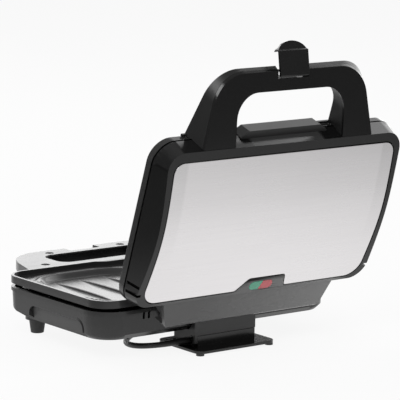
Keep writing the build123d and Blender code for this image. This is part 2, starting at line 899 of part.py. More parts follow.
def cover_hollow(start, length):
    with BuildSketch(lid_side.offset(start)) as hollow:
        with BuildLine() as line:
            Polyline(
                (cover_wall + wall, cover_low - cut_overrun),
                (cover_wall, cover_top - wall * 2),
                (cover_end - wall * 1.2, cover_end_top - wall * 1.8),
                (cover_end - wall * 1.2, cover_low - cut_overrun),
                close=True,
            )
        make_face(line.edges())
    extrude(hollow.sketch, amount=length, mode=Mode.SUBTRACT)


with BuildPart() as hinge_cover:
    with BuildSketch(lid_side):
        with BuildLine():
            Polyline(
                (cover_end - cover_bulge, cover_low),
                (cover_wall, cover_low),
                (cover_wall, lid_start),
                (-plate_setback, lid_start),
                (-plate_setback - (cover_top - lid_start) * wall_slope, cover_top),
                (cover_end - cover_bulge * 2, cover_end_top),
                (cover_end - cover_bulge, cover_end_top - cover_bulge),
            )
            ThreePointArc(
                (cover_end - cover_bulge, cover_end_top - cover_bulge),
                (cover_end, (cover_end_top + cover_low) / 2),
                (cover_end - cover_bulge, cover_low),
            )
        make_face()
    extrude(amount=cover_half_top, both=True)
    with BuildSketch(lid_plane):
        with BuildLine():
            Polyline(
                (-cover_half_top, -plate_setback * 2),
                (-cover_half_top, -plate_setback - cover_corner),
                (-cover_half_low, cover_end - cover_corner),
                (-cover_half_low + cover_corner, cover_end),
                (cover_half_low - cover_corner, cover_end),
                (cover_half_low, cover_end - cover_corner),
                (cover_half_top, -plate_setback - cover_corner),
                (cover_half_top, -plate_setback * 2),
                close=True,
            )
        make_face()
    extrude(amount=lid_height, mode=Mode.INTERSECT)
    for side in (-1, 1):
        cover_hollow(0, side * (lug_outer + side_play))
        open_end = knuckles[1] + knuckle_width + wall
        cover_hollow(side * open_end, side * (cover_half_top - open_end + cut_overrun))
    for side in (-1, 1):
        for place in knuckles:
            with BuildSketch(lid_side.offset(side * place)):
                Circle(knuckle_radius)
                with Locations((0, (cover_end_top - wall) / 2)):
                    Rectangle(knuckle_radius * 2, cover_end_top - wall)
                Circle(pin_radius, mode=Mode.SUBTRACT)
            extrude(amount=side * knuckle_width)
save(hinge_cover, "hinge_cover")

# Hinge pins, tight in the cover's knuckles and running in the base lugs
with BuildPart() as hinge_pins:
    for side in (-1, 1):
        with BuildSketch(lid_side.offset(side * knuckles[0])):
            Circle(pin_radius)
        extrude(amount=side * (knuckles[1] + knuckle_width - knuckles[0]))
save(hinge_pins, "hinge_pins")


# Lid handle, wide at the parting face, with a near face that goes on with the fall of the crown
face_tilt = math.radians(lid_face_slope)
face_start = rim_front + lid_face_start_reach
face_plane = Plane(
    origin=lid_side.from_local_coords(Vector(-face_start, lid_face_start, 0)),
    x_dir=(1, 0, 0),
    z_dir=lid_side.x_dir * -math.sin(face_tilt) + lid_side.y_dir * math.cos(face_tilt),
)


def handle_section(plane, points, start, stretch):
    places = [(x * plate_width, -(rim_front + reach - start) * stretch) for x, reach in points]
    with BuildSketch(plane) as section:
        with BuildLine() as line:
            Polyline(*[(-x, y) for x, y in places], *reversed(places), close=True)
        make_face(line.edges())
        fillet(section.vertices().group_by(Axis.Y)[0], handle_corner)
    return section.sketch


def below_face(drop, mode):
    with BuildSketch(face_plane.offset(-drop)) as layer:
        Rectangle(plate_width, plate_width * 2)
    extrude(layer.sketch, amount=-plate_width, mode=mode)


def lid_block(half, far_half, start, end, low, height, mode=Mode.ADD, radius=0):
    with BuildSketch(lid_plane.offset(low)) as block:
        with BuildLine() as line:
            Polyline((-half, -start), (-far_half, -end), (far_half, -end), (half, -start), close=True)
        make_face(line.edges())
        if radius > 0:
            fillet(block.vertices().group_by(Axis.Y)[0], radius)
    extrude(block.sketch, amount=height, mode=mode)


def handle_loop():
    low = handle_section(lid_plane.offset(lid_handle_low), far_points, 0, 1)
    high = handle_section(face_plane, near_points, face_start, 1 / math.cos(face_tilt))
    loft(low.faces() + high.faces())
    window_start = rim_front + window_start_reach
    window_end = rim_front + window_reach
    lid_block(window_half, window_half, window_start, window_end, 0, lid_height * 2, Mode.SUBTRACT, window_radius)
    notch_start = rim_front + lid_notch_reach
    lid_block(notch_half, notch_half, notch_start, notch_start + wall * 10, 0, lid_height, Mode.SUBTRACT)


def clear_lid():
    with BuildSketch(lid_plane) as below:
        rim_outline(-skin_gap)
    extrude(below.sketch, amount=lid_start, mode=Mode.SUBTRACT)
    with BuildSketch(lid_plane.offset(lid_start)) as form:
        rim_outline(0)
    extrude(form.sketch, amount=lid_height, taper=lid_taper, mode=Mode.SUBTRACT)


lid_handle_screw_places = [
    (side * x * plate_width, -rim_front - reach) for side in (-1, 1) for x, reach in lid_screw_points
]
lid_handle_head = lid_handle_low + screw_head_height * 1.5
latch_pivot = rim_front + latch_reach


def screw_shanks(radius, start, drop):
    with BuildSketch(lid_plane.offset(start)) as shanks:
        with Locations(*lid_handle_screw_places):
            Circle(radius)
    extrude(shanks.sketch, amount=lid_height)
    below_face(drop, Mode.INTERSECT)


with BuildPart() as handle_bores:
    screw_shanks(screw_radius, 0, lid_cover_thickness / 2)

with BuildPart() as lid_handle:
    handle_loop()
    lid_block(bar_half, bar_top_half, rim_front, rim_front + bar_reach, lid_handle_low, bar_depth)
    lid_block(bar_half, bar_half, rim_front - bar_reach, rim_front, lid_handle_low, bar_depth)
    lid_block(
        foot_flange_half,
        foot_flange_half,
        rim_front - foot_flange_reach,
        rim_front + foot_flange_reach,
        lid_handle_low,
        foot_flange_height,
    )
    clear_lid()
    below_face(lid_cover_thickness, Mode.INTERSECT)
    with BuildSketch(lid_plane):
        with Locations(*lid_handle_screw_places):
            Circle(screw_radius + skin_gap)
    extrude(amount=lid_height, mode=Mode.SUBTRACT)
    with BuildSketch(lid_plane):
        with Locations(*lid_handle_screw_places):
            Circle(screw_head_radius + skin_gap)
    extrude(amount=lid_handle_head, mode=Mode.SUBTRACT)
    with BuildSketch(lid_side.offset(-notch_half - latch_pin_radius * 3)):
        with Locations((-latch_pivot, latch_rise)):
            Circle(latch_pin_radius)
    extrude(amount=(notch_half + latch_pin_radius * 3) * 2, mode=Mode.SUBTRACT)
save(lid_handle, "lid_handle")

with BuildPart() as lid_handle_cover:
    handle_loop()
    clear_lid()
    below_face(lid_cover_thickness, Mode.SUBTRACT)
    add(handle_bores.part, mode=Mode.SUBTRACT)
save(lid_handle_cover, "lid_handle_cover")

with BuildPart() as lid_handle_screws:
    screw_shanks(screw_radius, lid_handle_head, lid_cover_thickness / 2)
    with BuildSketch(lid_plane.offset(lid_handle_head)):
        with Locations(*lid_handle_screw_places):
            Circle(screw_head_radius)
    extrude(amount=-screw_head_height)
save(lid_handle_screws, "lid_handle_screws")

# Latch, drawn as it stands when hooked and turned back by its travel
folded = lean + math.radians(latch_angle)
pivot_point = lid_side.from_local_coords(Vector(-latch_pivot, latch_rise, 0))
latch_side = Plane(origin=pivot_point, x_dir=(0, math.cos(folded), -math.sin(folded)), z_dir=(1, 0, 0))
latch_face = Plane(origin=pivot_point, x_dir=(1, 0, 0), z_dir=latch_side.x_dir)
latch_outer = latch_foot + latch_thick
latch_low = latch_hook_top + latch_hook_depth
arm_reach = latch_root + (latch_foot - latch_root) * latch_tail / (latch_tail + latch_hook_top) + latch_thick / 2
with BuildPart() as latch:
    with BuildSketch(latch_side):
        with BuildLine():
            Polyline(
                (-latch_root, latch_tail),
                (-latch_root - latch_thick * 0.6, latch_tail),
                (-latch_root - latch_thick, latch_tail - latch_thick * 0.5),
                (-latch_outer, -latch_hook_top),
                (-latch_outer + latch_lip_step, -latch_hook_top - latch_lip_step),
                (-latch_outer + latch_lip_step, -latch_lip),
                (-latch_foot + latch_lip_step, -latch_lip),
                (-latch_foot + latch_lip_step, -latch_low),
                (-latch_thick * 0.3, -latch_hook_top - latch_hook_depth * 0.5),
                (0, -latch_hook_top),
                (-latch_foot, -latch_hook_top),
                close=True,
            )
        make_face()
    extrude(amount=latch_half, both=True)
    with BuildSketch(latch_face) as latch_outline:
        with BuildLine() as latch_edge:
            Polyline(
                (-latch_half, latch_hook_top),
                (-latch_half, -latch_tail),
                (latch_half, -latch_tail),
                (latch_half, latch_hook_top),
            )
            ThreePointArc((latch_half, latch_hook_top), (0, latch_lip), (-latch_half, latch_hook_top))
        make_face()
        fillet(latch_outline.vertices().group_by(Axis.Y)[0], latch_lip_step)
    extrude(amount=lid_handle_reach, both=True, mode=Mode.INTERSECT)
    with BuildSketch(latch_side):
        Circle(latch_knuckle)
        with Locations((-arm_reach / 2, 0)):
            Rectangle(arm_reach, latch_knuckle * 2)
        Circle(latch_pin_radius + pin_fit, mode=Mode.SUBTRACT)
    extrude(amount=latch_arm_half, both=True)
save(latch, "latch")

with BuildPart() as latch_pin:
    with BuildSketch(lid_side.offset(-notch_half - latch_pin_radius * 3)):
        with Locations((-latch_pivot, latch_rise)):
            Circle(latch_pin_radius)
    extrude(amount=(notch_half + latch_pin_radius * 3) * 2)
save(latch_pin, "latch_pin")

# Thermostat under the lower plate, fuse on the reflector and terminal block on the base floor
with BuildPart() as thermostat:
    with BuildSketch(base_plane.offset(lower_web)):
        with Locations((0, plate_middle)):
            Circle(thermostat_radius)
    extrude(amount=-thermostat_height)
    with BuildSketch(base_plane.offset(lower_web - thermostat_height)):
        with Locations((-thermostat_blade_x, plate_middle), (thermostat_blade_x, plate_middle)):
            Rectangle(sheet, thermostat_blade)
    extrude(amount=-thermostat_blade * 0.75)
save(thermostat, "thermostat")

fuse_level = reflector_level + sheet + fuse_radius * 0.875
with BuildPart() as thermal_fuse:
    with BuildSketch(base_side.offset(fuse_x)):
        with Locations((plate_middle, fuse_level)):
            Circle(fuse_radius)
    extrude(amount=fuse_length)
    with BuildSketch(base_side.offset(fuse_x - fuse_length / 2)):
        with Locations((plate_middle, fuse_level)):
            Circle(fuse_radius * 0.2)
    extrude(amount=fuse_length * 2)
    with BuildSketch(base_plane.offset(reflector_level)):
        with Locations((fuse_x, plate_middle)):
            Rectangle(fuse_length * 4, fuse_radius * 4)
    extrude(amount=sheet, mode=Mode.SUBTRACT)
save(thermal_fuse, "thermal_fuse")

with BuildPart() as terminal_block:
    with BuildSketch(base_plane.offset(floor_level)):
        with Locations((0, -terminal_y)):
            RectangleRounded(terminal_length, terminal_depth, terminal_bore)
    extrude(amount=terminal_height)
    terminal_face = Plane(
        origin=(0, hinge_y - terminal_y - terminal_depth, 0), x_dir=(1, 0, 0), z_dir=(0, -1, 0)
    )
    with BuildSketch(terminal_face):
        with Locations((0, floor_level + terminal_height * 0.4)):
            with GridLocations(terminal_pitch, terminal_pitch, 3, 1):
                Circle(terminal_bore)
    extrude(amount=-terminal_depth * 2, mode=Mode.SUBTRACT)
    with BuildSketch(base_plane.offset(floor_level + terminal_height)):
        with Locations((0, -terminal_y)):
            with GridLocations(terminal_pitch, terminal_depth / 2, 3, 2):
                Circle(terminal_bore)
    extrude(amount=-terminal_height * 0.3, mode=Mode.SUBTRACT)
save(terminal_block, "terminal_block")

# Strain relief, a cone that starts on the neck's side face
relief_start = neck_half
with BuildPart() as strain_relief:
    with BuildSketch(base_side.offset(relief_start)):
        with Locations((-cord_line, cord_height)):
            Circle(relief_radius)
    extrude(
        amount=relief_end - relief_start,
        taper=math.degrees(math.atan2(relief_radius - relief_tip_radius, relief_end - relief_start)),
    )
save(strain_relief, "strain_relief")

# Power cord, from the strain relief down to the table and round to the coil under the base
lie = cord_radius + floor_gap
coil_start_x = coil_middle + coil_pitch * coil_half_turns / 4
route = [
    (relief_end, -cord_line, cord_height),
    (relief_end + 20.0, -cord_line, cord_height),
    (relief_end + 36.0, -cord_line - 20.0, (cord_height + lie) / 2),
    (relief_end + 25.0, -cord_line - 52.0, lie),
    (coil_start_x, -cord_line - 82.0, lie),
    (coil_start_x, -coil_y + coil_lead, lie),
]
route = [Vector(x, y + hinge_y, z) for x, y, z in route]


def corner_radii(points):
    radii = []
    for a, b, c in zip(points, points[1:], points[2:]):
        turn = (b - a).get_angle(c - b)
        shorter = min((b - a).length, (c - b).length)
        radii.append(0.45 * shorter / math.tan(math.radians(turn) / 2))
    return radii


radii = corner_radii(route)
with BuildPart() as power_cord:
    with BuildLine() as cord_path:
        FilletPolyline(*route, radius=radii)
    with BuildSketch(Plane(origin=cord_path.line @ 0, z_dir=cord_path.line % 0)):
        Circle(cord_radius)
    sweep()
save(power_cord, "power_cord")
section_area = math.pi * cord_radius**2
print("cord corner radii", [round(r, 1) for r in radii])
print("cord volume share", power_cord.part.volume / (section_area * cord_path.wires()[0].length))

# Cord coil, two flat layers of half turns: in on the lower, up, and out on the upper
coil_centre = Vector(0, hinge_y - coil_y, 0)
upper_lie = lie + cord_radius * 2 + layer_gap
reach = [coil_middle + coil_pitch * (coil_half_turns / 4 - step / 2) for step in range(coil_half_turns + 1)]
knots = [((-1) ** step * r, lie) for step, r in enumerate(reach)]
knots += [((-1) ** (coil_half_turns + 1 + step) * r, upper_lie) for step, r in enumerate(reversed(reach))]
with BuildPart() as cord_coil:
    with BuildLine() as coil_path:
        Line(route[-1], coil_centre + Vector(knots[0][0], 0, lie))
        for step, (here, there) in enumerate(zip(knots[:-1], knots[1:])):
            heading = Vector(0, -1 if step % 2 == 0 else 1, 0)
            start = coil_centre + Vector(here[0], 0, here[1])
            end = coil_centre + Vector(there[0], 0, there[1])
            middle = (start + end) / 2 + heading * ((end - start).length / 2)
            TangentArc(start, middle, tangent=heading)
            if step == len(knots) - 2:
                Line(middle, Vector(-plug_start, middle.Y, middle.Z))
            else:
                TangentArc(end, middle, tangent=heading)
    with BuildSketch(Plane(origin=route[-1], z_dir=(0, -1, 0))):
        Circle(cord_radius)
    sweep(path=coil_path.wires()[0])
save(cord_coil, "cord_coil")
print("coil volume share", cord_coil.part.volume / (section_area * coil_path.wires()[0].length))
print("coil length", coil_path.wires()[0].length)

# Least gap between parts of the coil that are over half a turn apart along it
count = 900
total = coil_path.wires()[0].length
spots = [coil_path.wires()[0] @ (i / count) for i in range(count + 1)]
apart = int(count * coil_middle * 2 / total)
least = min(
    (spots[i] - spots[j]).length for i in range(count + 1) for j in range(i + apart, count + 1)
)
print("coil least gap", least - cord_radius * 2)

# Plug and its pins
plug_y = hinge_y - coil_y - (reach[0] + reach[1]) / 2
plug_face = Plane(origin=(-plug_start, plug_y, upper_lie), x_dir=(0, 1, 0), z_dir=(-1, 0, 0))
with BuildPart() as plug:
    with BuildSketch(plug_face):
        RectangleRounded(plug_half * 1.1, (upper_lie - floor_gap) * 1.1, 4.0)
    with BuildSketch(plug_face.offset(plug_length * 0.35)):
        RectangleRounded(plug_half * 2, (upper_lie - floor_gap) * 2, 5.0)
    loft()
    with BuildSketch(plug_face.offset(plug_length * 0.35)):
        RectangleRounded(plug_half * 2, (upper_lie - floor_gap) * 2, 5.0)
    extrude(amount=plug_length * 0.65)
save(plug, "plug")

with BuildPart() as plug_pins:
    with BuildSketch(plug_face.offset(plug_length)):
        with Locations((-plug_pin_half, 0), (plug_pin_half, 0)):
            Circle(plug_pin_radius)
    extrude(amount=plug_pin_length)
save(plug_pins, "plug_pins")

solids = [
    base_housing, lower_plate, base_handle, lid_housing, lid_handle, latch, stand_plate, rear_pads, front_feet,
]
boxes = [piece.part.bounding_box() for piece in solids]
print("low corner", [min(getattr(b.min, axis) for b in boxes) for axis in "XYZ"])
print("high corner", [max(getattr(b.max, axis) for b in boxes) for axis in "XYZ"])
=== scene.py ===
import json
import math
import bmesh
import bpy
from mathutils import Matrix, Vector


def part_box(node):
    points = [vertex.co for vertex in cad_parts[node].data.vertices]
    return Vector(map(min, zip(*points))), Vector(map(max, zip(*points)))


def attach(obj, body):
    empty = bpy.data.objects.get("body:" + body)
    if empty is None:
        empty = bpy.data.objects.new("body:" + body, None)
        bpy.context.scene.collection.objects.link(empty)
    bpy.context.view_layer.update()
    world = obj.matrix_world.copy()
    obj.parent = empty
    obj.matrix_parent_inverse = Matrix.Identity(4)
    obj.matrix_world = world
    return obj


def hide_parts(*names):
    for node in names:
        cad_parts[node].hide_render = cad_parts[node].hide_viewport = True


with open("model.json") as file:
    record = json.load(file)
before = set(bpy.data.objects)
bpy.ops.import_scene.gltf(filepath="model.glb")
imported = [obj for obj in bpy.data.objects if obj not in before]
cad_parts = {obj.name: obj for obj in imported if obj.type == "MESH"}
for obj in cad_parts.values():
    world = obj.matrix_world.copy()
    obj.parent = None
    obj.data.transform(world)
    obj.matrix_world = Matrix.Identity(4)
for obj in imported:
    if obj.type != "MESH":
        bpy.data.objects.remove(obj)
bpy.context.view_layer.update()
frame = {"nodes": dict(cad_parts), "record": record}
mm = 0.001
scene = bpy.context.scene
nodes = frame["nodes"]
bodyOf = {n: body for body, members in frame["record"]["behaviour"]["bodies"].items() for n in members}
print("frame loaded")

# The lid turns about an axis along X, and is modelled open. Its own directions lean back with it.
hingeY, hingeZ, openAngle = 84.22, 55.0, 108.6
lidLean = math.radians(openAngle - 90)
lidReach = Vector((0, math.sin(lidLean), math.cos(lidLean)))
lidUp = Vector((0, math.cos(lidLean), -math.sin(lidLean)))

cameraSettings = {
    "azimuth": 142.4,
    "elevation": 9.9,
    "roll": 0.9,
    "focalPixels": 2475.9,
    "distance": 2391.8 * mm,
    "target": (25.5 * mm, 66.42 * mm, 146.7 * mm),
    "imageWidth": 400.0,
    "sensorWidth": 36.0,
    "clipStart": 0.05,
    "clipEnd": 50.0,
}


def buildCamera(s):
    az, el, roll = (math.radians(s[k]) for k in ("azimuth", "elevation", "roll"))
    back = Vector((math.sin(az) * math.cos(el), -math.cos(az) * math.cos(el), math.sin(el)))
    right = Vector((math.cos(az), math.sin(az), 0))
    up = back.cross(right)
    sideAxis = right * math.cos(roll) + up * math.sin(roll)
    upAxis = up * math.cos(roll) - right * math.sin(roll)
    data = bpy.data.cameras.new("photoCamera")
    data.sensor_width = s["sensorWidth"]
    data.lens = s["focalPixels"] * s["sensorWidth"] / s["imageWidth"]
    data.clip_start = s["clipStart"]
    data.clip_end = s["clipEnd"]
    cameraObject = bpy.data.objects.new("photoCamera", data)
    scene.collection.objects.link(cameraObject)
    turn = Matrix((sideAxis, upAxis, back)).transposed().to_4x4()
    place = Vector(s["target"]) + back * s["distance"]
    cameraObject.matrix_world = Matrix.Translation(place) @ turn
    scene.camera = cameraObject


buildCamera(cameraSettings)
print("camera set")


class Wire:  # one output socket, with arithmetic
    def __init__(self, shader, socket):
        self.shader = shader
        self.socket = socket

    def maths(self, operation, other=None, flipped=False):
        pair = (other, self) if flipped else (self, other)
        values = {i: v for i, v in enumerate(pair) if v is not None}
        return self.shader.node("ShaderNodeMath", {"operation": operation}, values)

    def __add__(self, other):
        return self.maths("ADD", other)

    def __radd__(self, other):
        return self.maths("ADD", other, True)

    def __sub__(self, other):
        return self.maths("SUBTRACT", other)

    def __rsub__(self, other):
        return self.maths("SUBTRACT", other, True)

    def __mul__(self, other):
        return self.maths("MULTIPLY", other)

    def __rmul__(self, other):
        return self.maths("MULTIPLY", other, True)

    def __pow__(self, other):
        return self.maths("POWER", other)


class Shader:
    def __init__(self, name):
        self.material = bpy.data.materials.new(name)
        self.material.use_nodes = True
        self.tree = self.material.node_tree
        self.tree.nodes.clear()

    def node(self, kind, settings=None, values=None, output=0):
        made = self.tree.nodes.new(kind)
        for key, value in (settings or {}).items():
            setattr(made, key, value)
        for key, value in (values or {}).items():
            if isinstance(value, Wire):
                self.tree.links.new(value.socket, made.inputs[key])
            else:
                made.inputs[key].default_value = value
        return Wire(self, made.outputs[output]) if len(made.outputs) else None

    def place(self, stretch=(1.0, 1.0, 1.0)):
        spot = self.node("ShaderNodeTexCoord", output="Object")
        return self.node("ShaderNodeMapping", {}, {"Vector": spot, "Scale": stretch})

    def part(self, vector, axis):
        return self.node("ShaderNodeSeparateXYZ", {}, {0: vector}, axis)

    def noise(self, spot, scale, detail=3.0, rough=0.5):
        values = {"Vector": spot, "Scale": scale, "Detail": detail, "Roughness": rough}
        return self.node("ShaderNodeTexNoise", {}, values)

    def spread(self, value, low, high):  # 0..1 value to low..high
        values = {"Value": value, "To Min": low, "To Max": high}
        return self.node("ShaderNodeMapRange", {"clamp": True}, values)

    def window(self, value, low, high):  # low..high value to 0..1
        values = {"Value": value, "From Min": low, "From Max": high}
        return self.node("ShaderNodeMapRange", {"clamp": True}, values)

    def blend(self, factor, a, b):
        made = self.tree.nodes.new("ShaderNodeMix")
        made.data_type = "RGBA"
        for index, value in ((0, factor), (6, a), (7, b)):
            if isinstance(value, Wire):
                self.tree.links.new(value.socket, made.inputs[index])
            else:
                made.inputs[index].default_value = value
        return Wire(self, made.outputs[2])

    def bump(self, height, strength, distance):
        return self.node("ShaderNodeBump", {}, {"Height": height, "Strength": strength, "Distance": distance})

    # Edge mask for lighter edges, partly wear and partly a painted highlight
    def edgeWearAndHighlight(self, radius, low, high):  # bevel normal against face normal
        rounded = self.node("ShaderNodeBevel", {"samples": 4}, {"Radius": radius})
        flat = self.node("ShaderNodeNewGeometry", output="Normal")
        same = self.node("ShaderNodeVectorMath", {"operation": "DOT_PRODUCT"}, {0: rounded, 1: flat}, "Value")
        return self.window(1.0 - same, low, high)

    def finish(self, **values):
        named = {k.replace("_", " "): v for k, v in values.items()}
        shader = self.node("ShaderNodeBsdfPrincipled", {}, named)
        self.node("ShaderNodeOutputMaterial", {}, {"Surface": shader})
        return self.material


def grey(value):
    return (value, value, value, 1.0)


def tinted(tone, tint):
    return tuple(tone * t for t in tint) + (1.0,)


glossLook = {
    "base": 0.003, "light": 0.006, "roughLow": 0.13, "roughHigh": 0.22, "grain": 700.0, "grainDepth": 0.015 * mm,
}
satinLook = {
    "base": 0.0085, "light": 0.014, "roughLow": 0.30, "roughHigh": 0.42, "grain": 900.0, "grainDepth": 0.03 * mm,
}
tubLook = {
    "base": 0.016, "light": 0.023, "roughLow": 0.2, "roughHigh": 0.3, "grain": 800.0, "grainDepth": 0.02 * mm,
}
# Painted light: the rear stand's black plastic made lighter than the tub's, as it looks in the light
litStandLook = {
    "base": 0.026, "light": 0.034, "roughLow": 0.24, "roughHigh": 0.34, "grain": 800.0, "grainDepth": 0.02 * mm,
}
# Painted light: the side grips' facet is the tub's black plastic made lighter, as where it catches the light
litGripLook = {
    "base": 0.06, "light": 0.075, "roughLow": 0.45, "roughHigh": 0.6, "grain": 500.0, "grainDepth": 0.06 * mm,
}
# Painted light: the hinge block's black plastic made a lighter grey, as it looks where it catches the light
litBlockLook = {
    "base": 0.088, "light": 0.103, "roughLow": 0.22, "roughHigh": 0.32, "grain": 800.0, "grainDepth": 0.02 * mm,
}
mouldedTexture = {
    "cloud": 18.0, "smear": 40.0, "smearStretch": 6.0, "smearShare": 0.5, "bump": 0.35, "specular": 0.5,
}


def plasticMaterial(name, s, shade=None):
    t = mouldedTexture
    sh = Shader(name)
    spot = sh.place()
    cloud = sh.noise(spot, t["cloud"], detail=4.0)
    grain = sh.noise(spot, s["grain"], detail=2.0, rough=0.6)
    smear = sh.noise(sh.place((1.0, t["smearStretch"], 1.0)), t["smear"], detail=5.0)
    colour = sh.blend(cloud, grey(s["base"]), grey(s["light"]))
    mixed = cloud * (1 - t["smearShare"]) + smear * t["smearShare"]
    rough = sh.spread(mixed, s["roughLow"], s["roughHigh"])
    if shade:
        colour, rough = shade(sh, spot, cloud, colour, rough)
    normal = sh.bump(grain, t["bump"], s["grainDepth"])
    return sh.finish(Base_Color=colour, Roughness=rough, Normal=normal, Specular_IOR_Level=t["specular"])


# Painted light: the hinge block's grey gets lighter towards -X, where it catches more light
sideLightLook = {"light": 0.24, "lightFrom": -115 * mm, "dark": 0.086, "darkFrom": 60 * mm, "mottle": 0.1}


def paintedSideLight(sh, spot, s):  # grey that gets lighter towards -X
    return sh.blend(sh.window(sh.part(spot, "X"), s["lightFrom"], s["darkFrom"]), grey(s["light"]), grey(s["dark"]))


def shadeBlock(sh, spot, cloud, colour, rough):
    return sh.blend(cloud * sideLightLook["mottle"], paintedSideLight(sh, spot, sideLightLook), grey(litBlockLook["light"])), rough


# On the lid's frame, painted light: the strip under the steel panel has the hinge block's painted lighter tone,
# and the upward-facing wall in the lid handle's opening is painted lighter than the rest, as a painted reflection
frameLook = {
    "stripSide": 104 * mm, "stripSideTo": 122 * mm, "stripTop": 72 * mm, "stripTopTo": 75 * mm,
    "wallSide": 40 * mm, "wallSideTo": 44 * mm, "wallFrom": 200 * mm, "wallTo": 205 * mm, "wallLitTone": 0.045,
    "facingFrom": 0.6, "facingTo": 0.8,
}


def shadeFrame(sh, spot, cloud, colour, rough):
    s = frameLook
    across = sh.part(spot, "X").maths("ABSOLUTE")
    height = sh.part(spot, "Z")
    middle = 1 - sh.window(across, s["stripSide"], s["stripSideTo"])
    under = 1 - sh.window(height, s["stripTop"], s["stripTopTo"])
    colour = sh.blend(middle * under, colour, paintedSideLight(sh, spot, sideLightLook))
    facing = sh.part(sh.node("ShaderNodeNewGeometry", output="Normal"), "Z")
    upward = sh.window(facing, s["facingFrom"], s["facingTo"])
    inside = 1 - sh.window(across, s["wallSide"], s["wallSideTo"])
    high = sh.window(height, s["wallFrom"], s["wallTo"])
    # Painted reflection on the upward-facing wall between the handle legs
    return sh.blend(upward * inside * high, colour, grey(s["wallLitTone"])), rough


# Painted shadow: a dark band round the rear end of each side grip, in the side view
gripShadowLook = {
    "y": 30.2 * mm, "z": 27.5 * mm, "radius": 8.0 * mm, "width": 2.4 * mm, "soft": 0.7 * mm, "x": 139 * mm,
    "tone": 0.0005, "rough": 0.95,
}


def shadeTub(sh, spot, cloud, colour, rough):
    s = gripShadowLook
    x, y, z = (sh.part(spot, axis) for axis in "XYZ")
    behind, above = (y - s["y"]).maths("MAXIMUM", 0.0), (z - s["z"]).maths("MAXIMUM", 0.0)
    away = (behind * behind + above * above) ** 0.5
    outer = s["radius"] + s["width"]
    band = sh.window(away, s["radius"] - s["soft"], s["radius"])
    band = band * (1 - sh.window(away, outer, outer + s["soft"]))
    band = band * sh.window(y, s["y"] - s["width"], s["y"] + s["radius"])
    band = band * sh.window(x.maths("ABSOLUTE"), s["x"], s["x"] + s["soft"])
    return sh.blend(band, colour, grey(s["tone"])), rough + (s["rough"] - rough) * band


# Painted shade: the grip wall darkens under the overhang, where ambient occlusion finds it closed in
overhangShadowLook = {"reach": 4 * mm, "from": 0.2, "to": 0.5, "tone": 0.001}


def shadeGrip(sh, spot, cloud, colour, rough):  # painted shade under the overhang, from ambient occlusion
    s = overhangShadowLook
    closed = 1 - sh.node("ShaderNodeAmbientOcclusion", {"samples": 8}, {"Distance": s["reach"]}, "AO")
    return sh.blend(sh.window(closed, s["from"], s["to"]), colour, grey(s["tone"])), rough


coatingLook = {
    "base": 0.03, "light": 0.05, "roughLow": 0.17, "roughHigh": 0.25, "metallic": 0.35, "cloud": 30.0,
    "speck": 1600.0, "speckBump": 0.1, "speckDepth": 0.02 * mm, "wearAndHighlight": 0.5, "wearHighlightTone": 0.16,
    "wearHighlightWidth": 0.6 * mm, "wearHighlightFrom": 0.02, "wearHighlightTo": 0.3,
}


def coatingMaterial(name, s):
    sh = Shader(name)
    spot = sh.place()
    cloud = sh.noise(spot, s["cloud"], detail=5.0)
    speck = sh.noise(spot, s["speck"], detail=1.0)
    wearAndHighlight = sh.edgeWearAndHighlight(s["wearHighlightWidth"], s["wearHighlightFrom"], s["wearHighlightTo"])
    colour = sh.blend(cloud, grey(s["base"]), grey(s["light"]))
    # Lighter edges on the coating: partly worn coating, partly a painted highlight
    colour = sh.blend(wearAndHighlight * s["wearAndHighlight"], colour, grey(s["wearHighlightTone"]))
    rough = sh.spread(cloud, s["roughLow"], s["roughHigh"])
    normal = sh.bump(speck, s["speckBump"], s["speckDepth"])
    return sh.finish(Base_Color=colour, Roughness=rough, Normal=normal, Metallic=s["metallic"])


panelLook = {
    "colour": 0.9, "dark": 0.8, "tint": (1.0, 0.978, 0.986), "roughLow": 0.22, "roughHigh": 0.34,
    "streak": 1400.0, "streakStretch": 0.012, "streakShare": 0.6, "streakBump": 0.12, "streakDepth": 0.02 * mm,
    "coarse": 260.0, "coarseStretch": 0.02, "cloud": 9.0, "anisotropic": 0.4,
    "endFrom": 116 * mm, "endTo": 119 * mm, "endLow": 0.1, "endHigh": 0.25, "endShadeShare": 0.35, "endShadeGrey": 0.45,
}


def panelMaterial(name, s):
    sh = Shader(name)
    spot = sh.place()
    fine = sh.noise(sh.place((s["streakStretch"], 1.0, 1.0)), s["streak"], detail=3.0, rough=0.7)
    coarse = sh.noise(sh.place((s["coarseStretch"], 1.0, 1.0)), s["coarse"], detail=4.0, rough=0.6)
    cloud = sh.noise(spot, s["cloud"], detail=2.0)
    share = s["streakShare"]
    streaks = fine * share + coarse * (1 - share)
    colour = sh.blend(streaks, tinted(s["dark"], s["tint"]), tinted(s["colour"], s["tint"]))
    # Painted shade in the reflection: the panel is darker near the top of its bent ends
    ends = sh.window(sh.part(spot, "X").maths("ABSOLUTE"), s["endFrom"], s["endTo"])
    ends = ends * sh.window(sh.part(spot, "Z"), s["endLow"], s["endHigh"])
    colour = sh.blend(ends * s["endShadeShare"], colour, grey(s["endShadeGrey"]))  # painted shade: darker reflection bands at the bent ends
    rough = sh.spread(fine * share + cloud * (1 - share), s["roughLow"], s["roughHigh"])
    normal = sh.bump(fine, s["streakBump"], s["streakDepth"])
    return sh.finish(
        Base_Color=colour, Roughness=rough, Normal=normal, Metallic=1.0, Anisotropic=s["anisotropic"],
    )


metalTexture = {"worn": 0.75, "fine": 6.0, "bump": 0.2, "depth": 0.02 * mm}


